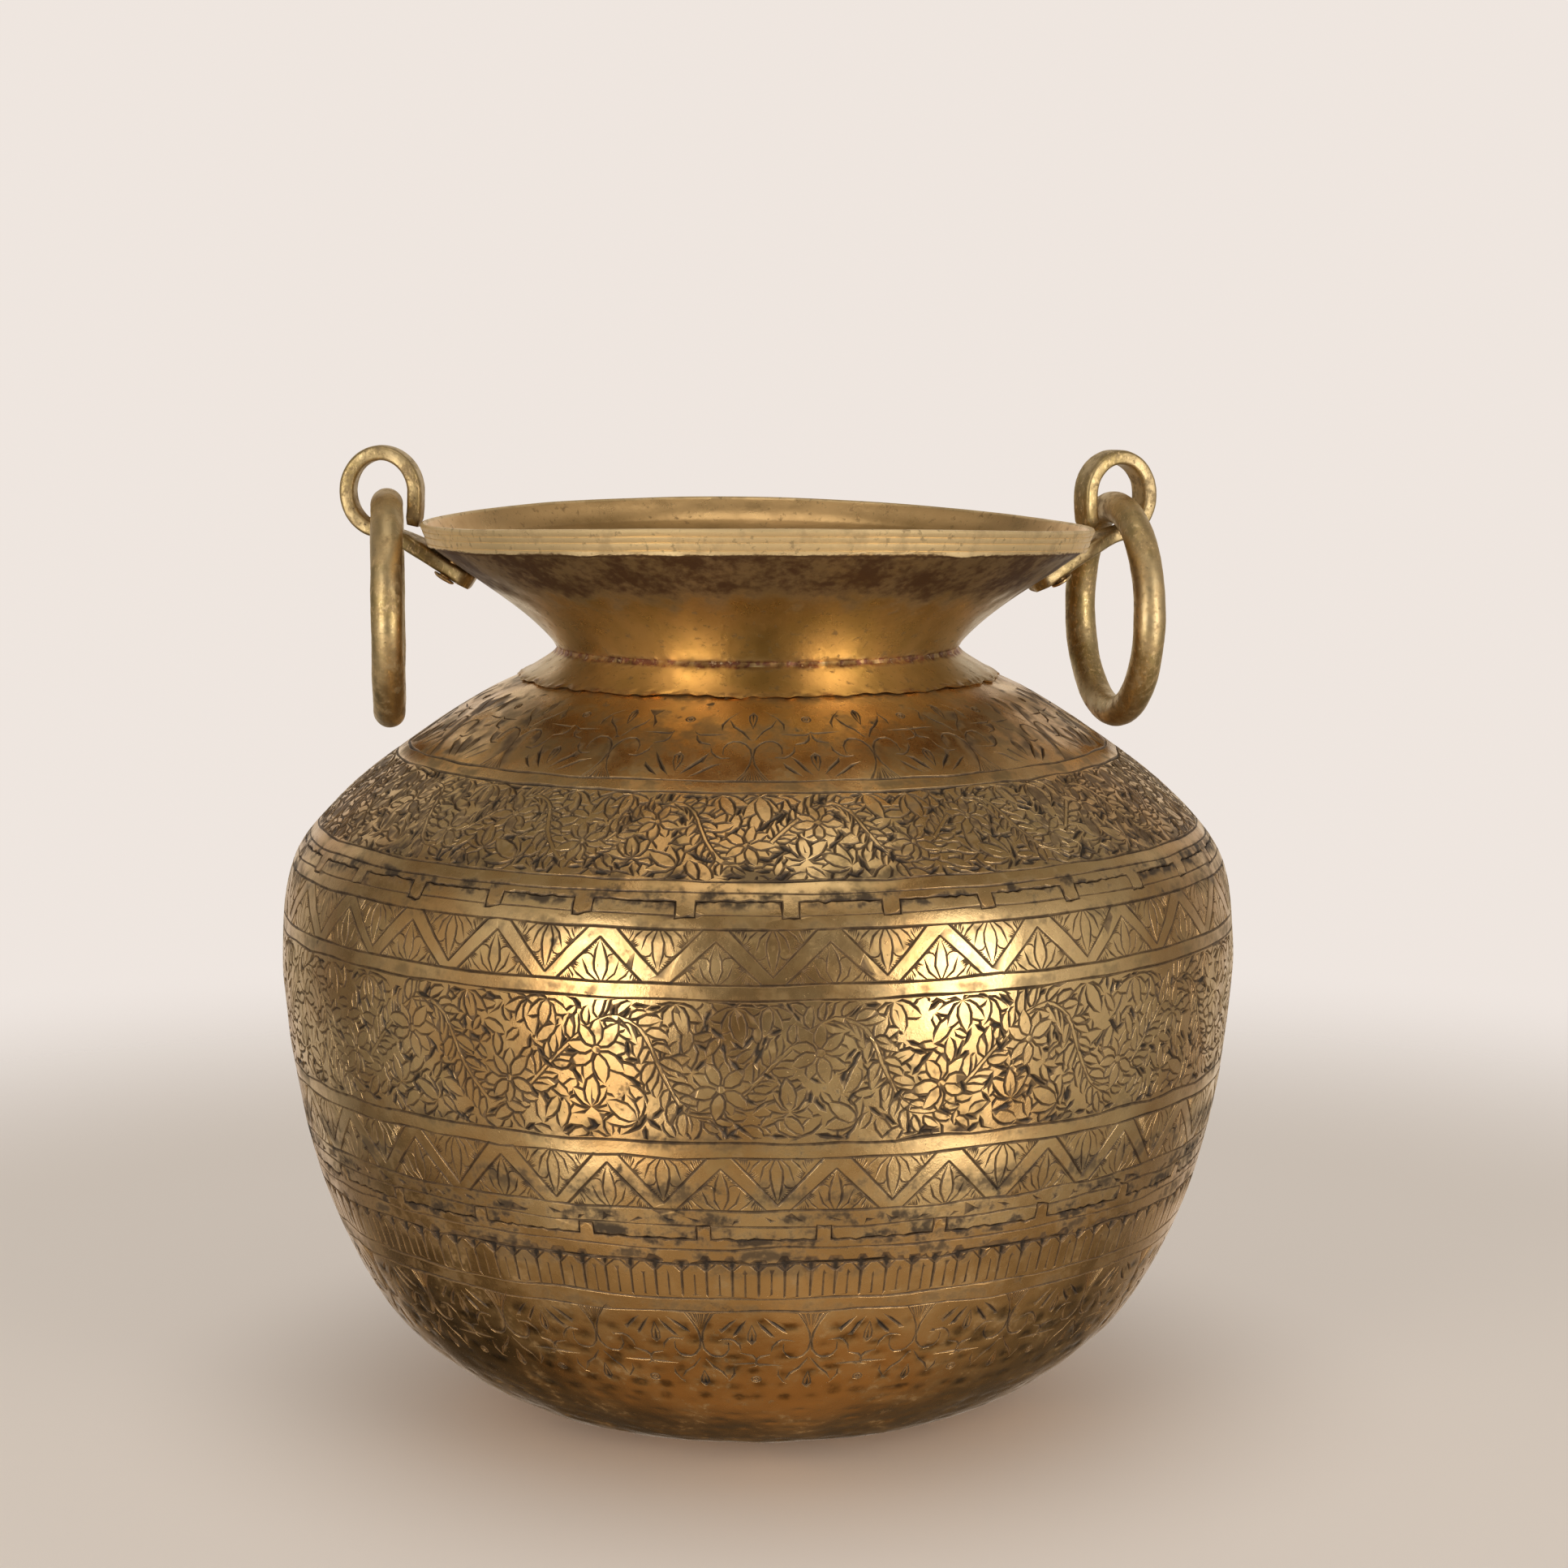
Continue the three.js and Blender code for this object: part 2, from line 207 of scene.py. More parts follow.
def smooth_by_angle(obj, degrees):
    obj.data.set_sharp_from_angle(angle=math.radians(degrees))


def rough(points, size, seed):
    """Smooth random values, about -1 to 1, at points in millimetres; size is the lump width."""
    offset = Vector((seed * 17.3, seed * 5.1, seed * 9.7))
    return np.array([noise.noise(Vector(p) / size + offset) for p in points])


# ---- hammer marks ---------------------------------------------------------------------------
class Ripples:
    """Slight waviness left by the planishing hammer: a sum of random waves that close round."""

    def __init__(self, seed, count, shortest, longest, height):
        rng = np.random.default_rng(seed)
        wave = np.exp(rng.uniform(math.log(shortest), math.log(longest), count))
        heading = rng.uniform(0, math.pi, count)
        self.turns = np.round(np.cos(heading) * 2 * math.pi * MEAN_RADIUS / wave)
        self.rise = np.sin(heading) * 2 * math.pi / wave
        self.phase = rng.uniform(0, 2 * math.pi, count)
        self.height = height * wave / longest * math.sqrt(2 / count)

    def __call__(self, azimuth, level):
        total = np.zeros(len(azimuth))
        for m, k, p, h in zip(self.turns, self.rise, self.phase, self.height):
            total += h * np.sin(m * np.radians(azimuth) + k * level + p)
        return total


class Dimples:
    """Rows of oval dents from a cross-peen hammer."""

    STRUCK = 0.85   # share of the places that were hit
    HALF_ACROSS, HALF_UP = (2.4, 4.2), (1.7, 2.7)

    def __init__(self, seed, low, high, row_step, spacing, depth):
        rng = np.random.default_rng(seed)
        marks = []
        for row, level in enumerate(np.arange(low, high, row_step)):
            count = int(2 * math.pi * radius_at(level) / spacing)
            for i in range(count):
                if rng.random() < self.STRUCK:
                    marks.append((
                        (i + 0.5 * (row % 2) + rng.normal(0, 0.16)) * 360 / count - BACK,
                        level + rng.normal(0, 0.16 * row_step),
                        rng.uniform(*self.HALF_ACROSS), rng.uniform(*self.HALF_UP),
                        depth * rng.uniform(0.35, 1.0),
                    ))
        self.marks = marks

    def __call__(self, azimuth, level):
        total = np.zeros(len(azimuth))
        scale = mm_per_degree(level)
        order = np.argsort(level)
        sorted_level = level[order]
        for at, up, half_x, half_y, depth in self.marks:
            a, b = np.searchsorted(sorted_level, (up - 3 * half_y, up + 3 * half_y))
            ids = order[a:b]
            x = wrap(azimuth[ids] - at) * scale[ids] / half_x
            y = (level[ids] - up) / half_y
            total[ids] -= depth * np.exp(-(x**2 + y**2))
        return total


def surface_at(azimuth, level, relief):
    """Points of the hammered body and their outward normals."""
    point, outward, sideways, upward = body_frame(azimuth, level)
    height, step = relief(azimuth, level), 0.4
    turn = step / mm_per_degree(level)
    across = (relief(azimuth + turn, level) - height) / step
    along = (relief(azimuth, level + step) - height) / step
    normal = unit(outward - across[:, None] * sideways - along[:, None] * upward)
    return point + height[:, None] * outward, normal, outward


# ---- engraving ------------------------------------------------------------------------------
MOST_TURN = 0.9   # radians that a stroke bends between two of its points
POINTED = 0.5     # an end narrower than this share of its stroke runs out in a point
UNSTEADY = 0.07   # how far the graver strays


def rails(points, half):
    """The two edges of a stroke of changing half width."""
    scale = true_scale(points)
    along = unit(np.gradient(points * scale, axis=0))
    side = np.stack([-along[:, 1], along[:, 0]], 1) * half[:, None] / scale
    return points + side, points - side


class Engraving:
    """Graver strokes, each a line of (azimuth, level) points with a half width at each."""

    def __init__(self, seed):
        self.rng = np.random.default_rng(seed)
        self.strokes = []

    def keep(self, points, half):
        self.strokes.append((points, half))
        for side in (-1, 1):
            if (points[:, 0] * side).max() > BACK - 2:
                self.strokes.append((points - (side * 360, 0), half))

    def cut(self, points, width, ends=(0.4, 0.4), step=7.0):
        """One stroke through the points. ends are the shares of the width left at its ends."""
        path = np.array(points, float)
        if len(path) > 2:
            path = spline(path, 6)
        scale = (mm_per_degree(path[:, 1].mean()), 1)
        along = lengths(path * scale)
        if along[-1] < 1:
            return
        heading = unit(np.diff(path * scale, axis=0))
        turning = np.arccos(np.clip((heading[1:] * heading[:-1]).sum(1), -1, 1))
        effort = along / step
        effort[2:] += np.cumsum(turning) / MOST_TURN
        count = max(1 if len(points) == 2 else 2, round(effort[-1]))
        at = np.interp(np.linspace(0, effort[-1], count + 1), effort, along)
        line = points_at(at, along, path)
        line[1:-1] += self.rng.normal(0, UNSTEADY, (count - 1, 2)) / scale
        swell = np.interp(at / along[-1], (0, 0.3, 0.7, 1), (ends[0], 1, 1, ends[1]))
        swell[swell < POINTED] = 0
        self.keep(line, width / 2 * swell * self.rng.uniform(0.85, 1.15))

    def ring(self, level, width, wobble=0.3):
        """A line all the way round."""
        azimuth = np.arange(-BACK - 6, BACK + 7, 3.0)
        rise, breadth = np.zeros(len(azimuth)), np.ones(len(azimuth))
        for turns in self.rng.integers(1, 40, 14):
            phase, grow = self.rng.uniform(0, 2 * math.pi, 2)
            rise += wobble / 4 * np.sin(turns * np.radians(azimuth) + phase)
            breadth += 0.07 * np.sin(turns * np.radians(azimuth) + grow)
        self.strokes.append((np.stack([azimuth, level + rise], 1), width / 2 * breadth))

    def hatch(self, first, last, count, width=0.75):
        """Short tapering strokes from one line to another."""
        first, last = np.array(first, float), np.array(last, float)
        for t in (np.arange(count) + 0.5) / count:
            t += self.rng.normal(0, 0.02)
            a, b = ((line[0] + (line[1] - line[0]) * t) for line in (first, last))
            self.cut([a, b], width, ends=(1, 0.15), step=12)


class CutDepth:
    """How deep the strokes go at points of the unrolled body."""

    CELL = 4.0
    SLOPE, DEEPEST = 0.8, 0.85
    REACH, BEYOND = 1.4, 1   # a stroke is looked for within 1.4 half widths and 1 mm of it

    def __init__(self, strokes, stretch):
        self.stretch = stretch
        self.a = np.vstack([p[:-1] for p, _ in strokes])
        self.b = np.vstack([p[1:] for p, _ in strokes])
        self.half_a = np.concatenate([h[:-1] for _, h in strokes])
        self.half_b = np.concatenate([h[1:] for _, h in strokes])
        reach = self.REACH * np.maximum(self.half_a, self.half_b)[:, None] + self.BEYOND
        low = np.minimum(self.a, self.b) * (stretch, 1) - reach
        high = np.maximum(self.a, self.b) * (stretch, 1) + reach
        boxes = np.hstack([low, high]) // self.CELL
        self.cells = {}
        for n, (x0, y0, x1, y1) in enumerate(boxes.astype(int).tolist()):
            for x in range(x0, x1 + 1):
                for y in range(y0, y1 + 1):
                    self.cells.setdefault((x, y), []).append(n)

    def __call__(self, points):
        """Depth at each point, and how far it lies outside the nearest stroke."""
        cell = (points * (self.stretch, 1) // self.CELL).astype(int)
        order = np.lexsort((cell[:, 1], cell[:, 0]))
        changes = np.flatnonzero(np.any(np.diff(cell[order], axis=0), axis=1)) + 1
        clear = np.full(len(points), 9.0)
        for ids in np.split(order, changes):
            found = self.cells.get(tuple(cell[ids[0]]))
            if found:
                clear[ids] = self.clearance(points[ids], np.array(found)).min(1)
        depth = np.clip(-clear * self.SLOPE, 0, self.DEEPEST)
        return depth, clear

    def clearance(self, points, ids):
        scale = true_scale(points)[:, None]
        start = (points[:, None] - self.a[ids]) * scale
        run = (self.b[ids] - self.a[ids]) * scale
        t = (start * run).sum(-1) / np.maximum((run**2).sum(-1), 1e-9)
        t = np.clip(t, 0, 1)
        half = self.half_a[ids] + (self.half_b[ids] - self.half_a[ids]) * t
        return np.linalg.norm(start - run * t[..., None], axis=-1) - half


# ---- foliage --------------------------------------------------------------------------------
LEAF_STEPS = 8


def leaf(base, heading, length, width, bend=0.0, fullness=0.75):
    """Closed outline of a pointed leaf, heading and bend in radians."""
    t = np.linspace(0, 1, LEAF_STEPS + 1)
    turn = heading + bend * (t - 0.35)
    step = np.stack([np.cos(turn), np.sin(turn)], 1) * length / LEAF_STEPS
    axis = base + np.vstack([[0, 0], np.cumsum(step[:-1], axis=0)])
    side = np.stack([-np.sin(turn), np.cos(turn)], 1)
    swell = width / 2 * (4 * t * (1 - t)) ** fullness * (1.15 - 0.3 * t)
    return np.vstack([axis + side * swell[:, None], (axis - side * swell[:, None])[-2:0:-1]])


class Foliage:
    """Leaves and flowers laid from front to back on a strip that closes round the body."""

    CELL = 0.4
    MARGIN = 0.3                        # kept clear along the strip's two edges
    FEWEST_CELLS, FEWEST_BARE = 8, 14   # cells of a leaf, and of a gap worth gouging

    def __init__(self, engraving, low, high):
        self.engraving, self.rng = engraving, engraving.rng
        self.low, self.high = low, high
        self.scale = mm_per_degree((low + high) / 2)
        shape = (round(360 * self.scale / self.CELL), math.ceil((high - low) / self.CELL))
        self.covered = np.zeros(shape, bool)

    def cells(self, points):
        x = np.floor(points[..., 0] / self.CELL).astype(int) % self.covered.shape[0]
        y = np.floor((points[..., 1] - self.low) / self.CELL).astype(int)
        return x, y

    def hidden(self, points):
        x, y = self.cells(points)
        level = points[..., 1]
        outside = (level < self.low + self.MARGIN) | (level > self.high - self.MARGIN)
        return outside | self.covered[x, np.clip(y, 0, self.covered.shape[1] - 1)]

    def inside(self, polygon):
        """Cell middles inside a polygon."""
        low = np.floor(polygon.min(0) / self.CELL) * self.CELL
        high = polygon.max(0)
        x, y = np.meshgrid(*(np.arange(a, b, self.CELL) + self.CELL / 2 for a, b in zip(low, high)))
        p = np.stack([x.ravel(), y.ravel()], 1)
        p = p[(p[:, 1] > self.low) & (p[:, 1] < self.high)]
        a, b = polygon, np.roll(polygon, -1, 0)
        crosses = (a[:, 1] > p[:, 1:]) != (b[:, 1] > p[:, 1:])
        rise = np.where(a[:, 1] == b[:, 1], 1e-9, b[:, 1] - a[:, 1])
        at = a[:, 0] + (p[:, 1:] - a[:, 1]) / rise * (b[:, 0] - a[:, 0])
        return p[(crosses & (p[:, :1] < at)).sum(1) % 2 == 1]

    def draw(self, line, width):
        """Cut the parts of a line that nothing in front covers."""
        along = lengths(line)
        t = np.linspace(0, along[-1], max(3, int(along[-1] / 0.5)))
        fine = points_at(t, along, line)
        seen = ~self.hidden(fine)
        for run in np.split(np.arange(len(t)), np.flatnonzero(np.diff(seen)) + 1):
            if seen[run[0]] and len(run) > 3:
                ends = [0.9 if cut else 0.45 for cut in (run[0] > 0, run[-1] < len(t) - 1)]
                few = fine[run[:: max(1, len(run) // 6)]]
                if np.any(few[-1] != fine[run[-1]]):
                    few = np.vstack([few, fine[run[-1]]])
                self.engraving.cut(few / (self.scale, 1), width, ends)

    def cover(self, polygon):
        self.covered[self.cells(self.inside(polygon))] = True

    def lay(self, polygon, width=1.4, at_most=1.0):
        """Draw and cover an outline, unless more than a share of it is hidden already."""
        cells = self.inside(polygon)
        if len(cells) < self.FEWEST_CELLS or self.hidden(cells).mean() > at_most:
            return False
        tip = len(polygon) // 2 + 1
        self.draw(polygon[:tip], width)
        self.draw(np.vstack([polygon[tip - 1:], polygon[:1]]), width)
        self.covered[self.cells(cells)] = True
        return True

    def vein(self, base, heading, length, width=1.0):
        tip = base + length * np.array([math.cos(heading), math.sin(heading)])
        self.engraving.cut(np.array([base, tip]) / (self.scale, 1), width, ends=(0.9, 0.1))

    def palmette(self, base, heading, size, lobes=5, at_most=1.0):
        """Lobes spread from one point, the middle one in front."""
        base = np.array(base, float)
        order = sorted(range(lobes), key=lambda k: abs(k - (lobes - 1) / 2))
        for k in order:
            off = k - (lobes - 1) / 2
            turn = heading + off * 0.62 + self.rng.normal(0, 0.07)
            length = size * (1 - 0.1 * abs(off)) * self.rng.uniform(0.88, 1.1)
            shape = leaf(base, turn, length, length * 0.46, 0.35 * off, 0.7)
            if not self.lay(shape, 1.45, at_most) and off == 0:
                return False
            if self.rng.random() < 0.35:
                start = base + 0.28 * length * np.array([math.cos(turn), math.sin(turn)])
                if not self.hidden(start[None])[0] or off == 0:
                    self.vein(start, turn + 0.2 * off, length * 0.36, 0.9)
        return True

    def flower(self, middle, radius, petals, start=0.0):
        """Round flower: a button with petals behind it."""
        middle = np.array(middle, float)
        angle = np.linspace(0, 2 * math.pi, 11)[:-1]
        ring = np.stack([np.cos(angle), np.sin(angle)], 1)
        self.lay(middle + ring * radius * 0.16, 0.9)
        for k in self.rng.permutation(petals):
            turn = start + 2 * math.pi * k / petals + self.rng.normal(0, 0.06)
            length = radius * self.rng.uniform(0.85, 1.1)
            base = middle + radius * 0.12 * np.array([math.cos(turn), math.sin(turn)])
            self.lay(leaf(base, turn, length, length * 0.5, self.rng.normal(0, 0.3), 0.75), 1.25)

    def stem(self, line, width, leaflet, spacing):
        """A stem with narrow curved leaflets on both sides; leaflet is their length."""
        along = lengths(line)
        heading = unit(np.gradient(line, axis=0))
        side = np.stack([-heading[:, 1], heading[:, 0]], 1)
        edges = line + side * width / 2, line - side * width / 2
        for edge in edges:
            self.draw(edge, 0.8)
        for start in range(0, len(line) - 1, 6):
            stop = min(start + 7, len(line))
            self.cover(np.vstack([edges[0][start:stop], edges[1][start:stop][::-1]]))
        for at in np.arange(spacing, along[-1] - spacing, spacing):
            i = int(np.searchsorted(along, at))
            forward = math.atan2(heading[i, 1], heading[i, 0])
            for hand in (-1, 1):
                base = line[i] + hand * side[i] * width * 0.35
                turn = forward + hand * self.rng.uniform(0.75, 0.95)
                size = leaflet * self.rng.uniform(0.8, 1.15)
                shape = leaf(base, turn, size, size * 0.42, -hand * 0.9, 0.65)
                self.lay(shape, 1.35, 0.6)

    def fill(self, tries, sizes, at_most):
        """Tuck leaves behind what is there, wherever enough of them shows."""
        length = 360 * self.scale
        for _ in range(tries):
            base = self.rng.uniform((0, self.low), (length, self.high))
            if self.hidden(base[None])[0] and self.rng.random() < 0.6:
                continue
            heading = self.rng.uniform(-math.pi, math.pi)
            size = self.rng.uniform(*sizes)
            shape = leaf(base, heading, size, size * 0.45, self.rng.normal(0, 0.5), 0.7)
            self.lay(shape, 1.4, at_most)

    def pockets(self, tries, reach=2.6):
        """Deep tapering gouges in the ground left between the leaves."""
        free = np.argwhere(~self.covered)
        offsets = np.arange(-reach, reach + 0.1, self.CELL)
        ox, oy = (o.ravel() for o in np.meshgrid(offsets, offsets))
        for i in self.rng.integers(0, len(free), tries):
            middle = (free[i] + 0.5) * self.CELL + (0, self.low)
            around = np.stack([middle[0] + ox, middle[1] + oy], 1)
            bare = around[~self.hidden(around)]
            if len(bare) < self.FEWEST_BARE:
                continue
            centre = bare.mean(0)
            spread, turn = np.linalg.eigh(np.cov((bare - centre).T))
            long, wide = np.sqrt(np.maximum(spread[::-1], 0.05)) * 1.7
            axis = turn[:, 1] * self.rng.choice((-1, 1))
            ends = np.array([centre - axis * long, centre, centre + axis * long])
            self.engraving.cut(ends / (self.scale, 1), min(2.2 * wide, 2.8), (0.7, 0.1))
            around = centre + np.stack([ox, oy], 1) * 0.7
            around = around[(around[:, 1] > self.low) & (around[:, 1] < self.high)]
            self.covered[self.cells(around)] = True


# ---- triangulating a sheet ------------------------------------------------------------------
def wrapped(line, extra=6):
    """A closed line round the body, carried on a little past the back at both ends."""
    tail = line[(line[:, 0] > BACK - extra) & (line[:, 0] < BACK)]
    head = line[(line[:, 0] < extra - BACK) & (line[:, 0] > -BACK)]
    shift = np.zeros(line.shape[1])
    shift[0] = 360
    return np.vstack([tail - shift, line, head + shift])


def triangulate(low, high, strokes, extra, stretch):
    """Triangles between two edges, with the strokes' middles and rails as edges."""
    points, edges = [], []

    def chain(line):
        start = len(points)
        points.extend(map(tuple, line * (stretch, 1)))
        edges.extend((i, i + 1) for i in range(start, len(points) - 1))

    for side in (-BACK, BACK):
        levels = np.arange(low[0, 1] + 2, high[0, 1] - 1, 4)
        levels = np.concatenate([[low[0, 1]], levels, [high[0, 1]]])
        chain(np.stack([np.full(len(levels), side), levels], 1))
    chain(low[:, :2])
    chain(high[:, :2])
    for line, half in strokes:
        left, right = rails(line, half)
        chain(line)
        chain(np.vstack([line[:1], left, line[-1:], right[::-1], line[:1]]))
    points.extend(map(tuple, extra * (stretch, 1)))
    found, _, faces, *_ = delaunay_2d_cdt(points, edges, [], 0, 1e-4, False)
    flat = np.array([tuple(p) for p in found]) / (stretch, 1)
    tri = np.array(faces)
    middle = flat[tri].mean(1)
    inside = np.abs(middle[:, 0]) < BACK
    inside &= middle[:, 1] > np.interp(middle[:, 0], low[:, 0], low[:, 1])
    inside &= middle[:, 1] < np.interp(middle[:, 0], high[:, 0], high[:, 1])
    used, tri = np.unique(tri[inside], return_inverse=True)
    return flat[used], tri.reshape(-1, 3)


def joined_at_back(flat, tri):
    """Triangle corners with the points at the two ends of the unrolled body made one."""
    left = np.flatnonzero(flat[:, 0] < -BACK + 1e-3)
    right = np.flatnonzero(flat[:, 0] > BACK - 1e-3)
    left = left[np.argsort(flat[left, 1])]
    near = np.searchsorted(flat[left, 1], flat[right, 1]).clip(1, len(left) - 1)
    below, above = (np.abs(flat[left[k], 1] - flat[right, 1]) for k in (near - 1, near))
    twin = left[near - (below < above)]
    target = np.arange(len(flat))
    close = np.abs(flat[twin, 1] - flat[right, 1]) < 0.03
    target[right[close]] = twin[close]
    return target[tri]


ROW_STEP = 0.87   # of the spacing, so that the points stand in even triangles


def grid_points(low, high, spacing):
    """Staggered rows of points between two levels."""
    rows = []
    for n, level in enumerate(np.arange(low + spacing / 2, high, spacing * ROW_STEP)):
        count = max(24, round(2 * math.pi * radius_at(level) / spacing))
        azimuth = (np.arange(count) + 0.5 * (n % 2) + 0.25) * 360 / count - BACK
        rows.append(np.stack([azimuth, np.full(count, level)], 1))
    return np.vstack(rows)


def nearest(flat, line, stretch):
    """For each point of a line, the index of the triangulation's point there."""
    tree = kdtree.KDTree(len(flat))
    for i, p in enumerate(flat * (stretch, 1)):
        tree.insert((p[0], p[1], 0), i)
    tree.balance()
    return np.array([tree.find((x, y, 0))[1] for x, y in line[:, :2] * (stretch, 1)])


def edge_strip(points, outer, inner, upper):
    """Triangles that close a sheet between its two faces along one edge, and their normals."""
    ends = [outer[:-1], inner[:-1], inner[1:], outer[:-1], inner[1:], outer[1:]]
    strip = np.stack(ends, 1).reshape(-1, 3)
    strip = strip[:, ::-1] if upper else strip
    return strip, np.repeat(face_normals(points, strip)[:, None], 3, 1)


FAINTEST = 0.03        # cuts shallower than this are left flat
CLEAR_OF_CUTS = 0.5    # how far the points between cuts stay away from them
LINING_SPACING, LINING_MARGIN = 16, 4   # of the smooth inner face


def sheet(name, low, high, engraving, relief, spacing, marks=None, foot=False):
    """One engraved body sheet between two edges, given as (azimuth, level, half width of the
    dark joint cut along it), with its thickness, its inner face and, if asked, its flat foot.
    Hollows made by marks are kept for the paint, which blackens them."""
    middle = (low[:, 1].mean() + high[:, 1].mean()) / 2
    stretch = mm_per_degree(middle)
    strokes = list(engraving.strokes)
    for line in (low, high):
        if line[:, 2].max() > 0:
            line = wrapped(line)
            strokes.append((line[:, :2], line[:, 2]))
    depth_at = CutDepth(strokes, stretch)
    extra = grid_points(low[:, 1].min(), high[:, 1].max(), spacing)
    extra = extra[depth_at(extra)[1] > CLEAR_OF_CUTS]
    flat, tri = triangulate(low, high, strokes, extra, stretch)
    depth, _ = depth_at(flat)
    depth[depth < FAINTEST] = 0
    skin, normal, outward = surface_at(flat[:, 0], flat[:, 1], relief)
    skin -= depth[:, None] * outward

    inner_low, inner_high = low[:, 1].min() + LINING_MARGIN, high[:, 1].max() - LINING_MARGIN
    coarse = grid_points(inner_low, inner_high, LINING_SPACING)
    flat_in, tri_in = triangulate(low, high, [], coarse, stretch)
    back, out_in, *_ = body_frame(flat_in[:, 0], flat_in[:, 1])
    lining = back - WALL * out_in

    corner = joined_at_back(flat, tri)
    corner_in = joined_at_back(flat_in, tri_in)[:, ::-1] + len(flat)
    points = np.vstack([skin, lining])
    triangles, normals = [corner, corner_in], []
    engraved = depth[tri].max(1) > 0
    face = face_normals(points, corner)[:, None]
    normals.append(np.where(engraved[:, None, None], face, normal[tri]))
    normals.append(-out_in[tri_in[:, ::-1]])

    for line in (high,) if foot else (low, high):
        outer, inner = nearest(flat, line, stretch), nearest(flat_in, line, stretch) + len(flat)
        strip, strip_normals = edge_strip(points, outer, inner, line is high)
        triangles.append(strip)
        normals.append(strip_normals)
    values = {"cut": np.concatenate([depth / CutDepth.DEEPEST, np.zeros(len(lining))]),
              "level": np.concatenate([flat[:, 1], flat_in[:, 1]]) / 100}
    if marks:
        values["dent"] = np.concatenate([-marks(flat[:, 0], flat[:, 1]), np.zeros(len(lining))])
    if foot:
        rims = nearest(flat, low, stretch), nearest(flat_in, low, stretch) + len(flat)
        for rim, height, up in ((rims[0], 0.0, False), (rims[1], WALL, True)):
            disc, spokes = foot_disc(points[rim[:-1]], height, len(points))
            spokes = np.where(spokes < 0, rim[:-1][spokes % len(rim[:-1])], spokes)
            spokes = spokes if up else spokes[:, ::-1]
            points = np.vstack([points, disc])
            triangles.append(spokes)
            normals.append(np.tile((0, 0, 1.0 if up else -1.0), (len(spokes), 3, 1)))
            for key in values:
                values[key] = np.concatenate([values[key], np.zeros(len(disc))])
    return make_mesh(name, points, np.vstack(triangles), np.vstack(normals), values)


FOOT_RINGS = (0.8, 0.55, 0.3, 0.1)   # radii of the rings in the foot, as shares of its rim's
FOOT_RISE = 0.5                      # the foot is slightly hollow


def foot_disc(rim, height, first):
    """Rings of points inside a rim, and their triangles; a negative index is a rim point."""
    count = len(rim)
    rings = [rim * (s, s, 0) + (0, 0, height + FOOT_RISE * (1 - s)) for s in FOOT_RINGS]
    index = [np.arange(count) - count]
    index += [first + k * count + np.arange(count) for k in range(len(FOOT_RINGS))]
    rows = []
    for a, b in zip(index, index[1:]):
        a1, b1 = np.roll(a, -1), np.roll(b, -1)
        rows += [np.stack([a, a1, b1], 1), np.stack([a, b1, b], 1)]
    middle = first + len(FOOT_RINGS) * count
    last = index[-1]
    rows.append(np.stack([last, np.roll(last, -1), np.full(count, middle)], 1))
    return np.vstack([*rings, [[0, 0, height + FOOT_RISE]]]), np.vstack(rows)


# ---- toothed seams --------------------------------------------------------------------------
def toothed_line(level, teeth, seed):
    """Middle of the gap of a toothed seam, as (azimuth, level), once round from the back."""
    rng = np.random.default_rng(seed)
    scale = mm_per_degree(level)
    step = 360 / teeth["count"]
    corners = []
    for k in range(teeth["count"]):
        at = wrap(teeth["first"] + k * step) + rng.normal(0, 0.1)
        half = teeth["width"] / 2 / scale * rng.uniform(0.88, 1.12)
        tip = level + teeth["length"] * rng.uniform(0.85, 1.1)
        skew = rng.normal(0, 0.35)
        corners += [(at - half, level), (at - half * 0.95, tip + skew)]
        corners += [(at + half * 0.95, tip - skew), (at + half, level)]
    corners.sort()
    corners = [(-BACK, level), *corners, (BACK, level)]
    line = [np.array(corners[:1], float)]
    for a, b in zip(corners, corners[1:]):
        size = math.hypot((b[0] - a[0]) * scale, b[1] - a[1])
        t = np.linspace(0, 1, max(1, round(size / 2.4)) + 1)[1:, None]
        piece = np.array(a) + (np.array(b) - a) * t
        piece[:-1, 1] += rng.normal(0, 0.22, len(piece) - 1)
        line.append(piece)
    return np.vstack(line)


def seam_edge(line, side, seed, width):
    """One edge of a seam, half the gap off its middle, with the ragged joint cut's half width."""
    rng = np.random.default_rng(seed)
    half = np.full(len(line), GAP / 2)
    moved = rails(line, half)[0 if side > 0 else 1]
    moved[:, 0] = np.maximum.accumulate(moved[:, 0])
    moved[0], moved[-1] = line[0] + (0, side * GAP / 2), line[-1] + (0, side * GAP / 2)
    joint = width * np.exp(rng.normal(0, 0.38, len(line))).clip(0.4, 2.1)
    joint[-1] = joint[0]
    return np.column_stack([moved, joint])


def plain_edge(level, spacing=2.5):
    azimuth = np.arange(-BACK, BACK + spacing / 2, spacing)
    return np.column_stack([azimuth, np.full(len(azimuth), level), np.zeros(len(azimuth))])


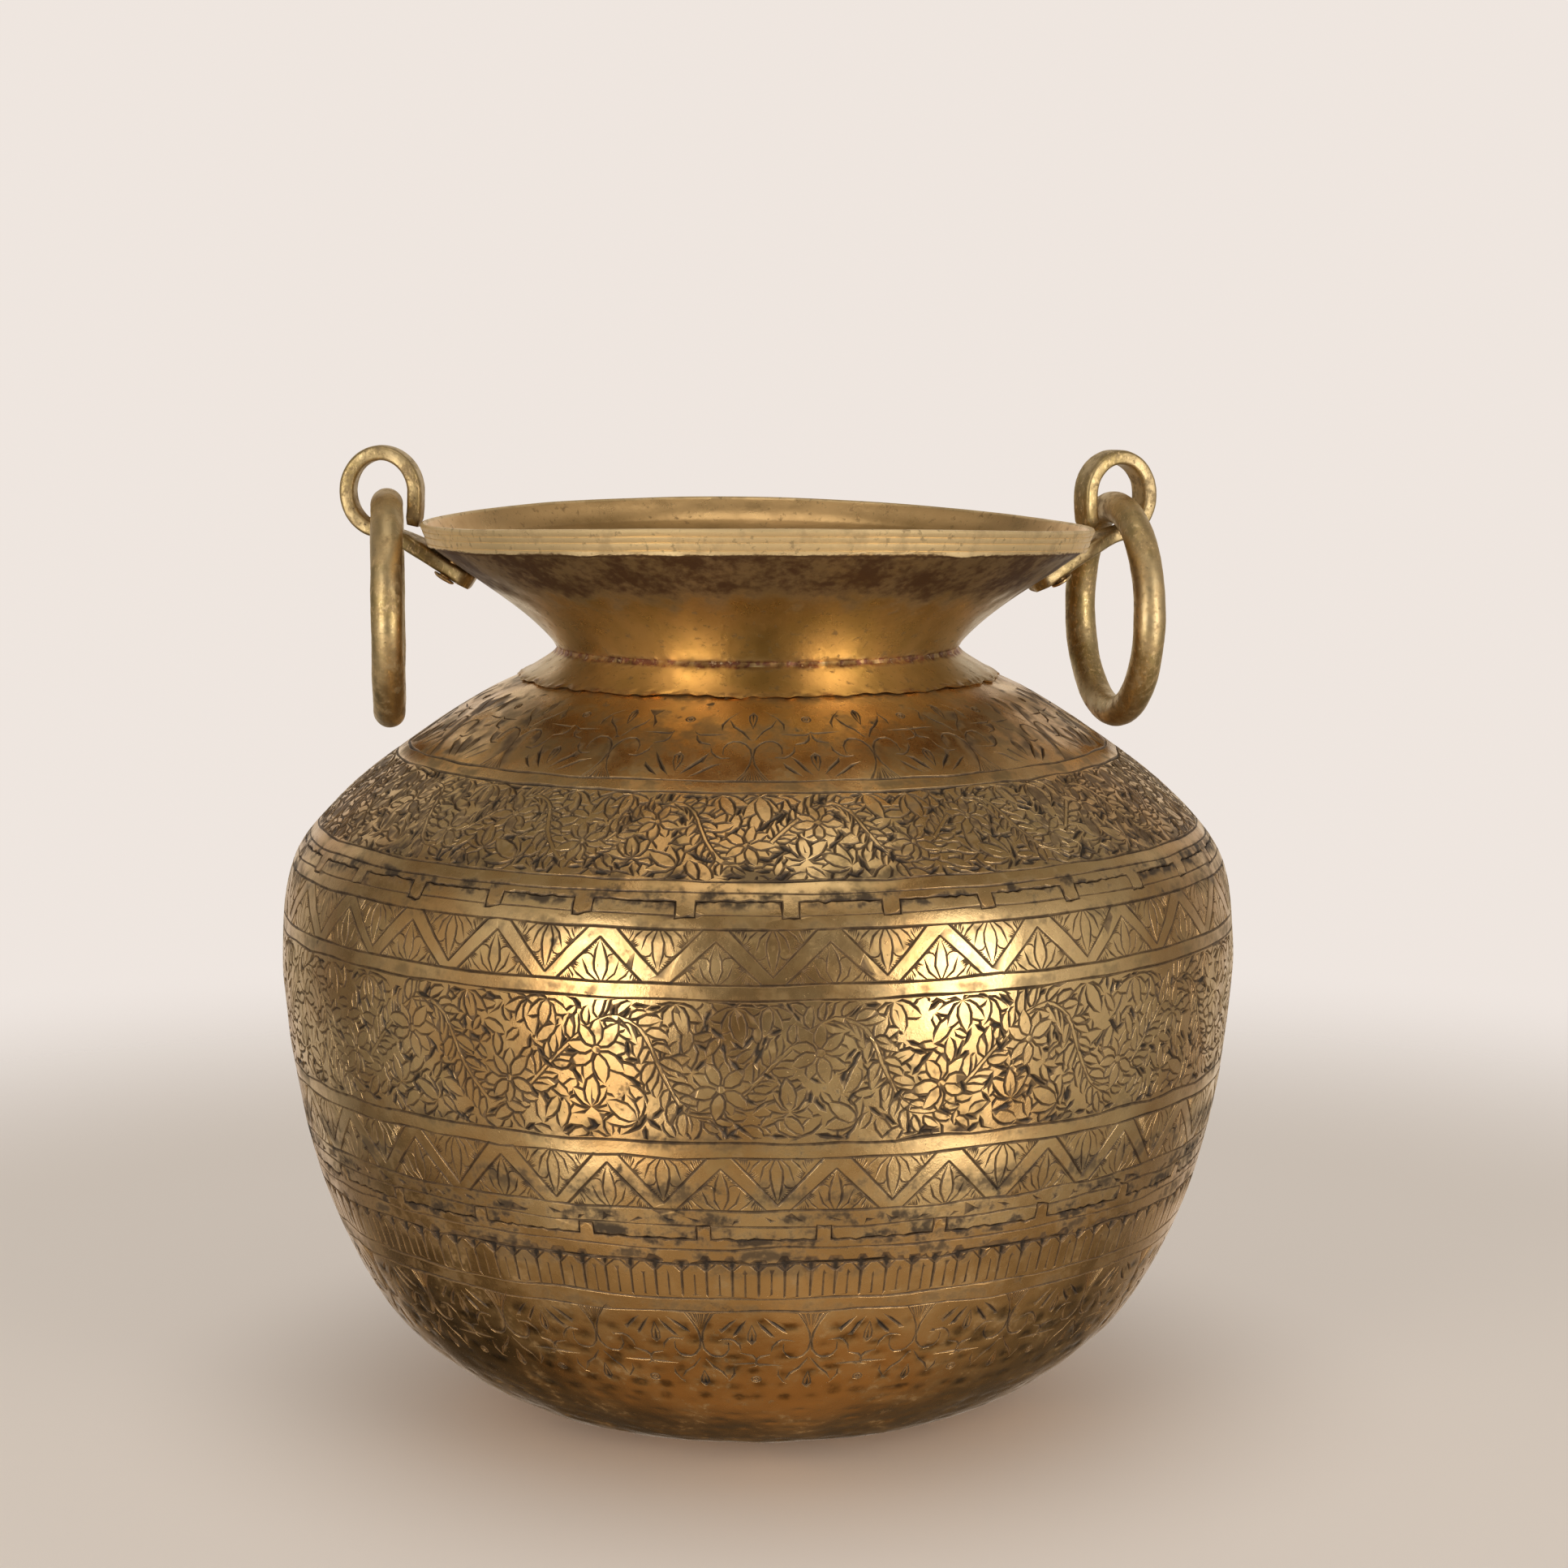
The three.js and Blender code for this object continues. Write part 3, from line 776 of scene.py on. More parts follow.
# ---- ornament -------------------------------------------------------------------------------
# Right half of the scrolled palmette that stands on a fan: degrees across, mm up.
MOTIF = [
    ([(2.8, 0), (1.3, 5.5), (0.25, 12.2), (0.15, 17.8), (0.9, 22.2), (2.4, 25), (3.9, 25.1),
      (5.2, 22.2), (5.5, 18.3), (5.0, 15.6), (4.1, 15.2)], 1.2),
    ([(4.1, 14.7), (5.6, 14.2), (7.4, 17.2), (8.0, 22.2)], 1.2),
    ([(8.2, 23), (10, 23.9), (11, 26.7), (11.3, 30.2)], 1.2),
    ([(11.3, 30.2), (10.6, 29.1), (8.2, 29.4), (5.1, 29.8)], 1.2),
    ([(0.65, 26.7), (1.9, 31.1), (3.7, 34.4), (5.2, 40.6)], 1.2),
    ([(5.2, 40.6), (6.3, 36.7), (6.3, 31.7)], 1.2),
]
SPRAY = [
    ([(-3.5, 11.7), (-2.4, 7.6), (-0.9, 2.8)], 1.9), ([(-5.7, 8.7), (-4.4, 5.4), (-2.8, 2.4)], 1.7),
    ([(4.1, 12), (2.4, 8), (0.87, 3.4)], 1.9), ([(6.5, 9.2), (4.6, 5.6), (2.4, 2)], 1.7),
]
FRONT_MOTIFS = (-25.4, -0.9, 19.6, 38.6)   # the shoulder's row is set out unevenly


def placing(at, level, wide, tall):
    """A function that sets the points of a drawing where it stands; hand -1 mirrors them."""
    def place(points, hand=1):
        return [(at + hand * wide * x, level + tall * y) for x, y in points]
    return place


def motif(e, place):
    """Fan, scrolled stems, palmette and drop."""
    for hand in (-1, 1):
        for line, width in MOTIF:
            e.cut(place(line, hand), width, (0.55, 0.35))
        e.cut(place([(0, 33.9), (0.6, 38.5), (0.8, 42), (0, 44.6)], hand), 1.0, (0.5, 0.8))
    e.hatch(place([(-2.5, 0.4), (2.5, 0.4)]), place([(-0.35, 8.8), (0.35, 8.8)]), 10, 0.8)
    e.cut(place([(0, 36.5), (0, 43.6)]), 2.0, (0.1, 0.9))


def spray(e, place):
    """Leaves and a drop on the line between two fans."""
    for line, width in SPRAY:
        e.cut(place(line), width, (1, 0.15))
    for hand in (-1, 1):
        e.cut(place([(0, 6), (0.75, 11), (0.8, 15), (0, 17)], hand), 1.0, (0.5, 0.9))
    e.cut(place([(0, 9), (0, 15.6)]), 1.9, (0.1, 1))


def small_circle(e, at, level, radius):
    angle = np.linspace(0, 2 * math.pi, 9)
    scale = mm_per_degree(level)
    for share, width in ((1, 0.9), (0.35, 1.1)):
        ring = np.stack([at + share * radius * np.cos(angle) / scale,
                         level + share * radius * np.sin(angle)], 1)
        e.cut(ring, width, (1, 1))


def motif_row(e, centres, level, wide, tall):
    """A row of motifs with what stands between each two; tall is negative where they hang."""
    for at, after in zip(centres, [*centres[1:], centres[0] + 360]):
        at, after = wrap(at), wrap(after)
        between = at + ((after - at) % 360) / 2
        size = wide * e.rng.uniform(0.95, 1.03)
        motif(e, placing(at, level, size, tall * e.rng.uniform(0.97, 1.03)))
        spray(e, placing(between + e.rng.normal(0, 0.4), level, wide * 0.95, tall))
        small_circle(e, between, level + 39 * tall, 1.9)


# Half of the flower in a triangle: across in half bases, up in heights of the triangle.
TULIP = [
    ([(0.03, 0.02), (0.15, 0.28), (0.12, 0.62), (0, 0.96)], 1.15),
    ([(0.1, 0.01), (0.3, 0.18), (0.37, 0.4), (0.43, 0.54)], 1.05),
    ([(0.13, 0.5), (0.2, 0.6), (0.3, 0.63), (0.4, 0.58)], 0.85),
    ([(0.36, 0.02), (0.52, 0.14), (0.66, 0.3)], 1.05),
    ([(0.72, 0.25), (0.64, 0.12), (0.62, 0.02)], 0.9),
]
TULIP_HATCHES = [
    ([(0.38, 0.6), (0.07, 0.92)], [(0.25, 0.61), (0.03, 0.86)], 7),
    ([(0.57, 0.42), (0.69, 0.3)], [(0.41, 0.37), (0.54, 0.19)], 5),
    ([(0.66, 0.02), (0.95, 0.02)], [(0.71, 0.24), (0.94, 0.05)], 6),
]


def triangle(e, foot, half, base, tip):
    """A triangle of the zigzag with its flower; it hangs where tip is below base."""
    e.cut([(foot - half, base), (foot, tip)], 1.25, (1, 0.9), 12)
    e.cut([(foot + half, base), (foot, tip)], 1.25, (1, 0.9), 12)
    lean = e.rng.normal(0, 0.03)
    squeeze = e.rng.uniform(0.9, 1.05)
    for hand in (-1, 1):
        def place(points):
            return [(foot + half * (hand * x * squeeze + lean * (1 - y)), base + (tip - base) * y)
                    for x, y in points]
        for line, width in TULIP:
            e.cut(place(line), width, (0.6, 0.4))
        for first, last, count in TULIP_HATCHES:
            e.hatch(place(first), place(last), count, 0.95)


def zigzag(e, low, high, count, first):
    """Ribbon between two lines with flowers in the triangles above and below it."""
    step = 360 / count
    for k in range(count):
        at = wrap(first + k * step) + e.rng.normal(0, 0.2)
        triangle(e, at, step * 0.385, high, low + 2.8 + e.rng.normal(0, 0.4))
        triangle(e, at + step / 2, step * 0.395, low, high - 4.4 + e.rng.normal(0, 0.4))


def palisade(e, low, high, count):
    """Pointed pickets with two slits each and dark notches between their points."""
    step = 360 / count
    for k in range(count):
        at = (k + 0.5) * step - BACK + e.rng.normal(0, 0.06)
        foot, top = low + e.rng.normal(1.4, 0.4), high - 3.9 + e.rng.normal(0, 0.25)
        e.cut([(at, top), (at, foot)], 1.5, (1, 0.8), 12)
        e.cut([(at + step / 2, top - 1.4), (at + step / 2, foot)], 1.35, (0.6, 0.8), 12)
        for hand in (-1, 1):
            e.cut([(at + hand * 1.2, high - 0.2), (at, top)], 1.2, (0.8, 0.8))
        e.cut([(at, high - 0.4), (at, high - 1.3), (at, top + 0.2)], 3.8, (1, 0.1))


# One period of the vine, across in periods and up in heights of the band: the stem's bends,
# the flowers with their petals, and the palmettes with their heading, size and lobes.
VINE = [(-0.6, 0.16), (-0.42, 0.32), (-0.2, 0.66), (0, 0.88), (0.14, 0.8), (0.26, 0.42)]
VINE_FLOWERS = [(-0.06, 0.64, 9), (0.5, 0.38, 10)]
VINE_PALMETTES = [
    (0.16, 0.72, 65, 13, 5), (0.24, 0.5, 200, 12, 5), (0.3, 0.98, -70, 14, 5),
    (0.24, 0.55, 20, 12, 5), (0.1, 0.14, 150, 14, 5), (-0.14, 0.22, 95, 13, 7),
    (-0.3, 0.97, -100, 13, 5), (0.6, 0.96, -80, 14, 7),
]


def vine_band(e, low, high, periods, crest, flower_size):
    """A waving feathered stem with flowers and palmettes, and foliage in all the gaps."""
    f = Foliage(e, low, high)
    tall, wave = high - low, 360 * f.scale / periods
    rng = e.rng

    def at(x, y):
        return np.array([crest * f.scale + x * wave, low + y * tall])

    for k in range(periods):
        for x, y, petals in VINE_FLOWERS:
            size = flower_size * rng.uniform(0.92, 1.05)
            f.flower(at(k + x, y), size, petals, rng.uniform(0, 1))
    line = [at(k + x, y) for k in range(periods + 1) for x, y in VINE]
    line = spline(np.array(line[: periods * len(VINE) + 1]), 8)
    f.stem(line, 1.7, tall * 0.17, 4.6)
    for k in range(periods):
        strays = rng.normal(0, 0.02, len(VINE_PALMETTES))
        for (x, y, heading, size, lobes), stray in zip(VINE_PALMETTES, strays):
            f.palmette(at(k + x + stray, y), math.radians(heading), size, lobes)
    f.fill(periods * 90, (8, 13), 0.42)
    f.fill(periods * 45, (6, 9), 0.5)
    f.pockets(periods * 40)
    return f


def shoulder_engraving():
    e = Engraving(11)
    rest = np.linspace(FRONT_MOTIFS[-1], FRONT_MOTIFS[0] + 360, 15)[1:-1]
    motif_row(e, [*FRONT_MOTIFS, *rest], 391.2, 0.92, 1.0)
    for level, width in ((391.2, 1.3), (384.4, 1.4), (338.6, 1.2), (332.9, 1.0)):
        e.ring(level, width, 0.45)
    vine_band(e, 339.2, 383.8, 17, -12, 9.5)
    return e


def drum_engraving():
    e = Engraving(23)
    for level, width in ((323.7, 0.9), (317.9, 1.2), (296.7, 1.2), (290.6, 1.2)):
        e.ring(level, width)
    for level, width in ((233.4, 1.2), (227.1, 1.2), (204.6, 1.2), (197.9, 1.0)):
        e.ring(level, width, 0.5)
    for at in np.arange(-BACK, BACK, 3.6):
        start = at + e.rng.uniform(0, 1.6)
        pit = [(start, 200.3 + e.rng.normal(0, 0.5)), (start + e.rng.uniform(0.6, 1.2), 200.3)]
        e.cut(pit, e.rng.uniform(1.3, 2.2), (0.9, 0.4))
    zigzag(e, 296.7, 317.9, 29, 1.5)
    zigzag(e, 204.6, 227.1, 28, 2.2)
    vine_band(e, 234, 290, 15, -16, 11.5)
    return e


def bowl_engraving():
    e = Engraving(37)
    for level, width in ((188, 1.0), (181.4, 1.2), (164.8, 1.1), (158, 1.1)):
        e.ring(level, width, 0.8)
    palisade(e, 165, 181.4, 119)
    step = 360 / 26
    motif_row(e, [6.6 + k * step for k in range(26)], 157.6, 0.64, -0.93)
    return e


# ---- collar ---------------------------------------------------------------------------------
SKIRT = [(105.9, 320.7), (104.4, 321.7), (99, 324.8), (92, 329.2), (88.8, 331.6)]
FUNNEL = [(88.2, 333.2), (91.6, 338), (99.5, 346.5), (108.6, 354.6), (118.8, 362.6),
          (130.5, 371.4), (141.2, 380)]
HEM_GAP = [(142.7, 382.6), (143.5, 382.6)]
HEM_LINES = [(144.2, 381.3), (144.5, 382.2), (144.7, 382.7), (144.5, 383.0), (144.9, 383.3),
             (145.7, 385.9), (145.5, 386.2), (145.9, 386.5), (146.6, 388.4), (146.4, 388.7),
             (146.8, 389.0), (147.5, 390.7), (147.1, 391.7), (146.2, 392), (145.3, 391.5)]
FUNNEL_INSIDE = [(144.9, 390.6), (140.8, 382.1), (129.3, 372.8), (117.6, 364), (107.3, 355.9),
                 (98.1, 347.8), (89.9, 338.8), (86, 333)]
SKIRT_INSIDE = [(87.2, 329.2), (90.3, 328), (97.4, 324.1), (105.3, 320.4)]


def sag_at(azimuth, z):
    """How far the mouth is pulled down; azimuth in radians from +X."""
    share = np.clip((z - CREASE[1]) / (LIP_Z - CREASE[1]), 0, 1)
    along = azimuth - math.radians(SAG_AZIMUTH)
    return share * (SAG * np.cos(along) ** 2 + LEAN * np.cos(azimuth))


def round_noise(azimuth, size, seed):
    """Smooth random values round a circle; size is the lump's angle in radians."""
    r = 1 / size
    return np.array([noise.noise(Vector((r * math.cos(a), r * math.sin(a), seed * 7.7)))
                     for a in azimuth])


def collar_sheet():
    """The collar turned from its profile, with dents, solder lumps and ragged edges."""
    columns = 480
    azimuth = np.arange(columns) * 2 * math.pi / columns
    parts = [spline(SKIRT, 7), spline(FUNNEL, 8), np.array(HEM_GAP), np.array(HEM_LINES),
             spline(FUNNEL_INSIDE, 7), np.array(SKIRT_INSIDE)]
    profile = np.vstack(parts)
    starts = np.cumsum([0] + [len(p) for p in parts])
    points = turned(profile, azimuth)
    height = np.tile(profile[:, 1], (columns, 1))

    outward = np.stack([np.cos(azimuth), np.sin(azimuth), 0 * azimuth], 1)[:, None]
    slope = unit(np.gradient(profile, axis=0))
    normal = slope[None, :, 1:] * outward + np.array((0, 0, -1)) * slope[None, :, :1]
    flat = points.reshape(-1, 3)
    dents = rough(flat, 26, 1).reshape(columns, -1)
    lumps = rough(flat, 4.5, 2) + 0.6 * rough(flat, 2.2, 3)
    lumps = lumps.reshape(columns, -1)
    push = 0.22 * dents
    push[:, starts[3]:starts[4]] *= 0.3
    row = np.arange(len(profile))
    skirt = row < starts[1]
    rim = np.where(skirt, np.exp(-((profile[:, 0] - 105) / 2.2) ** 2), 0)
    throat = np.exp(-((profile[:, 1] - CREASE[1]) / 2) ** 2) * (row < starts[2])
    amount = 0.6 + 0.8 * round_noise(azimuth, 0.35, 4)[:, None]
    push += (0.25 + 0.75 * lumps) * (rim[None] * amount + 0.8 * throat[None]).clip(0, 1.4)
    edge_wave = 1.6 * round_noise(azimuth, 0.05, 5) + 1.2 * round_noise(azimuth, 0.2, 6)
    near_edge = np.where(skirt, np.clip((profile[:, 0] - 99) / 6, 0, 1), 0)
    near_edge[starts[5]:] = np.clip((profile[starts[5]:, 0] - 99) / 6, 0, 1)
    drift = edge_wave[:, None] * near_edge[None]
    points += normal * push[..., None] + outward * drift[..., None] * 0.87
    points[..., 2] -= 0.5 * drift

    hem_wave = 1.1 * round_noise(azimuth, 0.16, 7) + 0.5 * round_noise(azimuth, 0.045, 8)
    low_hem = (row >= starts[3]) & (row < starts[3] + 2) | (row == starts[3] - 1)
    points[..., 2] += hem_wave[:, None] * low_hem[None]
    lip_wave = 0.35 * round_noise(azimuth, 0.3, 9)
    points[..., 2] += lip_wave[:, None] * np.clip((height - 372) / 20, 0, 1)
    points[..., 2] -= sag_at(azimuth[:, None], height)

    values = {
        "height": height.ravel() / 100,
        "residue": ((0.4 * rim + throat)[None] * (0.7 + 0.6 * lumps)).clip(0, 1).ravel(),
        "inside": np.tile((row >= starts[4]).astype(float), columns),
    }
    triangles = grid_triangles(columns, len(profile), True, True)[:, ::-1]
    obj = make_mesh("collar_sheet", points.reshape(-1, 3), triangles, values=values)
    smooth_by_angle(obj, 38)
    return obj


# ---- brackets, rings and rivets ---------------------------------------------------------------
def bezier(controls, count):
    t = np.linspace(0, 1, count, endpoint=False)[:, None]
    c, n = np.array(controls, float), len(controls) - 1
    return sum(math.comb(n, k) * t**k * (1 - t) ** (n - k) * c[k] for k in range(n + 1))


def bar_path():
    """Centre line of the forged bar as (radius, height), evenly spaced."""
    centre, half = np.array(EYE_CENTRE), np.array(EYE_HALF)
    start = math.radians(-80)
    join = centre + half * (math.cos(start), math.sin(start))
    heading = unit(half * (-math.sin(start), math.cos(start)))
    p0, p1 = np.array(FOOT_START, float), np.array(FOOT_END, float)
    along = unit(p1 - p0)
    turn = np.linspace(start, math.pi, 120, endpoint=False)
    eye = centre + half * np.stack([np.cos(turn), np.sin(turn)], 1)
    left = centre - (half[0], 0)
    line = np.vstack([
        bezier([p0, p1], 30), bezier([p1, p1 + 9 * along, join - 9 * heading, join], 30), eye,
        bezier([left, left - (0, 9), left - (-1.4, 15)], 20), [left - (-1.4, 15)],
    ])
    s = lengths(line)
    even = np.linspace(0, s[-1], 151)
    return even, points_at(even, s, line)


def ramp(x, low, high):
    """0 below low, 1 above high and smooth between."""
    t = np.clip((x - low) / (high - low), 0, 1)
    return t * t * (3 - 2 * t)


def turned_by(degrees, x, y, z):
    """Points turned about the pot's axis."""
    c, s = math.cos(math.radians(degrees)), math.sin(math.radians(degrees))
    return np.stack([x * c - y * s, x * s + y * c, z], 1)


def placed(points, side):
    """Points of a bracket, rivet or ring made beside +X, moved to its side of the pot."""
    return turned_by(SIDES[side]["azimuth"], *points.T) - (0, 0, SIDES[side]["drop"])


FOOT_ENDS, EYE_BEGINS = 27, 43   # along the bar: where it stops being foot and becomes eye


def bracket_bar(side):
    """Forged bar: a flat riveted foot narrowing to a rod that closes in an eye."""
    s, path = bar_path()
    total = s[-1]
    slope = unit(np.gradient(path, axis=0))
    neck = ramp(s, FOOT_ENDS, EYE_BEGINS)
    tail = np.sqrt(np.clip((total - s + 1.5) / 5, 0, 1))
    rounding = np.sqrt(np.clip((s + 1.2) / 6, 0, 1))
    wide = (FOOT_WIDTH * (1 - neck) + EYE_WIDTH * neck) * np.minimum(rounding, tail) / 2
    thick = (FOOT_THICK + (EYE_THICK - FOOT_THICK) * neck) * (0.55 + 0.45 * tail) / 2
    turn = circle(40)
    box = [np.sign(v) * np.abs(v) ** 0.42 for v in (np.cos(turn), np.sin(turn))]
    across, up = wide[:, None] * box[0], thick[:, None] * box[1]
    r = path[:, :1] - slope[:, 1:] * up
    z = path[:, 1:] + slope[:, :1] * up
    twist = math.radians(SIDES[side]["twist"]) * ramp(s, FOOT_ENDS, EYE_BEGINS + 2)[:, None]
    x = EYE_CENTRE[0] + (r - EYE_CENTRE[0]) * np.cos(twist) - across * np.sin(twist)
    y = (r - EYE_CENTRE[0]) * np.sin(twist) + across * np.cos(twist)
    points = np.stack([x * np.cos(y / x), x * np.sin(y / x), z], -1)
    middle = points.mean(1, keepdims=True)
    flat = points.reshape(-1, 3)
    seed = 20 if side == "left" else 30
    grain = 0.16 * rough(flat, 7, seed) + 0.1 * rough(flat, 2.4, seed + 1)
    points = points + unit(points - middle) * grain.reshape(len(s), -1, 1)
    rows, columns = points.shape[:2]
    triangles = grid_triangles(rows, columns, False, True)[:, ::-1]
    first, last = rows * columns, rows * columns + 1
    ring = np.arange(columns)
    end = ring + (rows - 1) * columns
    caps = [np.stack([np.roll(ring, -1), ring, np.full(columns, first)], 1)[:, ::-1],
            np.stack([end, np.roll(end, -1), np.full(columns, last)], 1)[:, ::-1]]
    points = np.vstack([points.reshape(-1, 3), middle[0], middle[-1]])
    obj = make_mesh(f"bracket_bar_{side}", placed(points, side), np.vstack([triangles, *caps]))
    smooth_by_angle(obj, 42)
    return obj


def carrying_ring(side):
    """Hand-forged ring hanging in its eye."""
    floor = EYE_CENTRE[1] - EYE_HALF[1] + EYE_THICK / 2
    top = floor + RING_REST + RING_WIRE + EYE_WIDTH**2 / 8 / RING_RADIUS
    around, bar = circle(220)[:, None], circle(40)[None]
    seed = 40 if side == "left" else 50
    flats = 0.10 * np.cos(9 * around + seed) * np.cos(2 * bar)
    spread = RING_RADIUS + (RING_WIRE + flats) * np.cos(bar)
    points = np.stack([(RING_WIRE + flats) * np.sin(bar) + 0 * spread, spread * np.cos(around),
                       spread * np.sin(around)], -1)
    middle = RING_RADIUS * np.stack([0 * around, np.cos(around), np.sin(around)], -1)
    flat = points.reshape(-1, 3)
    grain = 0.14 * rough(flat, 8, seed) + 0.07 * rough(flat, 2.6, seed + 1)
    points = points + unit(points - middle) * grain.reshape(len(around), -1, 1)
    triangles = grid_triangles(*points.shape[:2], True, True)[:, ::-1]
    hung = turned_by(SIDES[side]["ring_turn"], *points.reshape(-1, 3).T)
    hung += (EYE_CENTRE[0] - SIDES[side]["ring_in"], 0, top - RING_RADIUS)
    obj = make_mesh(f"carrying_ring_{side}", placed(hung, side), triangles)
    smooth_by_angle(obj, 60)
    return obj


def rivet_pin(side, hand, label):
    """Rivet with its head under the foot and its beaten tail inside the funnel."""
    under = -FOOT_THICK / 2 - GAP
    seat = FOOT_THICK / 2 + 2.1 + WALL + GAP
    head = RIVET_HEAD
    low_head = [(1.5, under - 1.35), (head - 1, under - 1.15), (head, under - 0.6), (head, under)]
    tail = [(head, seat + 0.3), (head - 0.7, seat + 1.3), (head - 2.4, seat + 2.3), (0, seat + 2.7)]
    shank = [(RIVET_SHANK, under), (RIVET_SHANK, seat), (head, seat)]
    profile = np.vstack([[(0, under - 1.35)], spline(low_head, 4), shank, spline(tail, 4)])
    columns = 48
    points = turned(profile, circle(columns)).reshape(-1, 3)
    seed = 60 + (hand > 0) + (side == "left") * 2
    lump = 1 + 0.09 * rough(points, 3.5, seed) * (np.abs(points[:, 2]) > 2)
    points[:, :2] *= lump[:, None]
    inner = np.hypot(points[:, 0], points[:, 1]) < head - 0.5
    points[:, 2] += 0.25 * rough(points, 2.6, seed + 5) * inner
    along = np.array(FOOT_END, float) - FOOT_START
    at, tilt = FOOT_START + RIVET_AT * along, math.atan2(along[1], along[0])
    x, y, z = points.T
    tilted = [at[0] + x * math.cos(tilt) - z * math.sin(tilt), y,
              at[1] + x * math.sin(tilt) + z * math.cos(tilt)]
    points = turned_by(hand * RIVET_SPREAD, *tilted)
    triangles = grid_triangles(columns, len(profile), True, False)[:, ::-1]
    obj = make_mesh(f"rivet_pin_{side}_{label}", placed(points, side), triangles)
    smooth_by_angle(obj, 45)
    return obj


# ---- materials ------------------------------------------------------------------------------
class Nodes:
    """Short ways to add the nodes of a material or a world."""

    def __init__(self, owner):
        owner.use_nodes = True
        self.tree = owner.node_tree

    def node(self, kind, inputs=(), **settings):
        made = self.tree.nodes.new(kind)
        for key, value in settings.items():
            setattr(made, key, value)
        for socket, value in zip(made.inputs, inputs):
            self.feed(socket, value)
        return made

    def feed(self, socket, value):
        if isinstance(value, bpy.types.NodeSocket):
            self.tree.links.new(value, socket)
        elif value is not None:
            socket.default_value = value

    def math(self, operation, a, b=0.0):
        return self.node("ShaderNodeMath", [a, b], operation=operation, use_clamp=False).outputs[0]

    def mix(self, share, a, b):
        made = self.node("ShaderNodeMix", data_type="RGBA", clamp_factor=True)
        for socket, value in zip((made.inputs[0], made.inputs[6], made.inputs[7]), (share, a, b)):
            self.feed(socket, (*value, 1) if isinstance(value, tuple) else value)
        return made.outputs[2]


class Paint(Nodes):
    """Nodes of one procedural metal; sizes are in millimetres."""

    def __init__(self, name):
        self.material = bpy.data.materials.new(name)
        super().__init__(self.material)
        self.shader = self.tree.nodes["Principled BSDF"]
        place = self.node("ShaderNodeTexCoord").outputs["Object"]
        self.at = self.node("ShaderNodeVectorMath", [place, (1000, 1000, 1000)],
                            operation="MULTIPLY").outputs[0]

    def times(self, a, b):
        return self.math("MULTIPLY", a, b)

    def plus(self, a, b):
        return self.math("ADD", a, b)

    def most(self, first, *others):
        """The greatest of several values."""
        for value in others:
            first = self.math("MAXIMUM", first, value)
        return first

    def blend(self, a, b, share=0.6):
        """Two values weighed together; share is the first one's weight."""
        return self.plus(self.times(a, share), self.times(b, 1 - share))

    def shaken(self, value, cloud, width):
        """A value moved up and down by a cloud, over a width in millimetres."""
        return self.plus(value, self.times(self.plus(cloud, -0.5), width))

    def attribute(self, name):
        return self.node("ShaderNodeAttribute", attribute_name=name).outputs["Fac"]

    def between(self, value, low, high, start=0.0, end=1.0):
        return self.node("ShaderNodeMapRange", [value, low, high, start, end],
                         interpolation_type="SMOOTHSTEP").outputs[0]

    def noise(self, size, detail=3, stretch=(1, 1, 1), seed=0):
        """Cloudy values round 0.5; size is a lump's width and stretch squeezes it per axis."""
        scale = tuple(s / size for s in stretch)
        place = self.node("ShaderNodeVectorMath", [self.at, scale, (seed * 3.1, seed * 5.7, seed)],
                          operation="MULTIPLY_ADD").outputs[0]
        return self.node("ShaderNodeTexNoise", [place, None, 1.0, detail, 0.6]).outputs["Fac"]

    def band(self, value, middle, half):
        """1 at the middle, falling to 0 at half on either side."""
        away = self.math("ABSOLUTE", self.math("SUBTRACT", value, middle))
        return self.between(away, half, half * 0.25)

    def finish(self, colour, metal, roughness, height, depth):
        bump = self.node("ShaderNodeBump", [1.0, depth * MM])
        self.feed(bump.inputs["Height"], height)
        for key, value in (("Base Color", colour), ("Metallic", metal), ("Roughness", roughness)):
            self.feed(self.shader.inputs[key], value)
        self.feed(self.shader.inputs["Normal"], bump.outputs[0])
        return self.material


GOLD, DEEP_GOLD, OLIVE_GOLD = (0.86, 0.60, 0.29), (0.64, 0.38, 0.15), (0.50, 0.37, 0.16)
ORANGE_GOLD, CAST, CAST_DARK = (0.84, 0.50, 0.20), (0.66, 0.50, 0.27), (0.34, 0.24, 0.12)
TARNISH, SOOT = (0.085, 0.048, 0.024), (0.018, 0.013, 0.010)
COPPER, SPELTER, RUSSET = (0.36, 0.14, 0.08), (0.62, 0.50, 0.32), (0.070, 0.026, 0.010)
PALE_GOLD, MELLOW_GOLD = (0.92, 0.69, 0.37), (0.70, 0.49, 0.24)


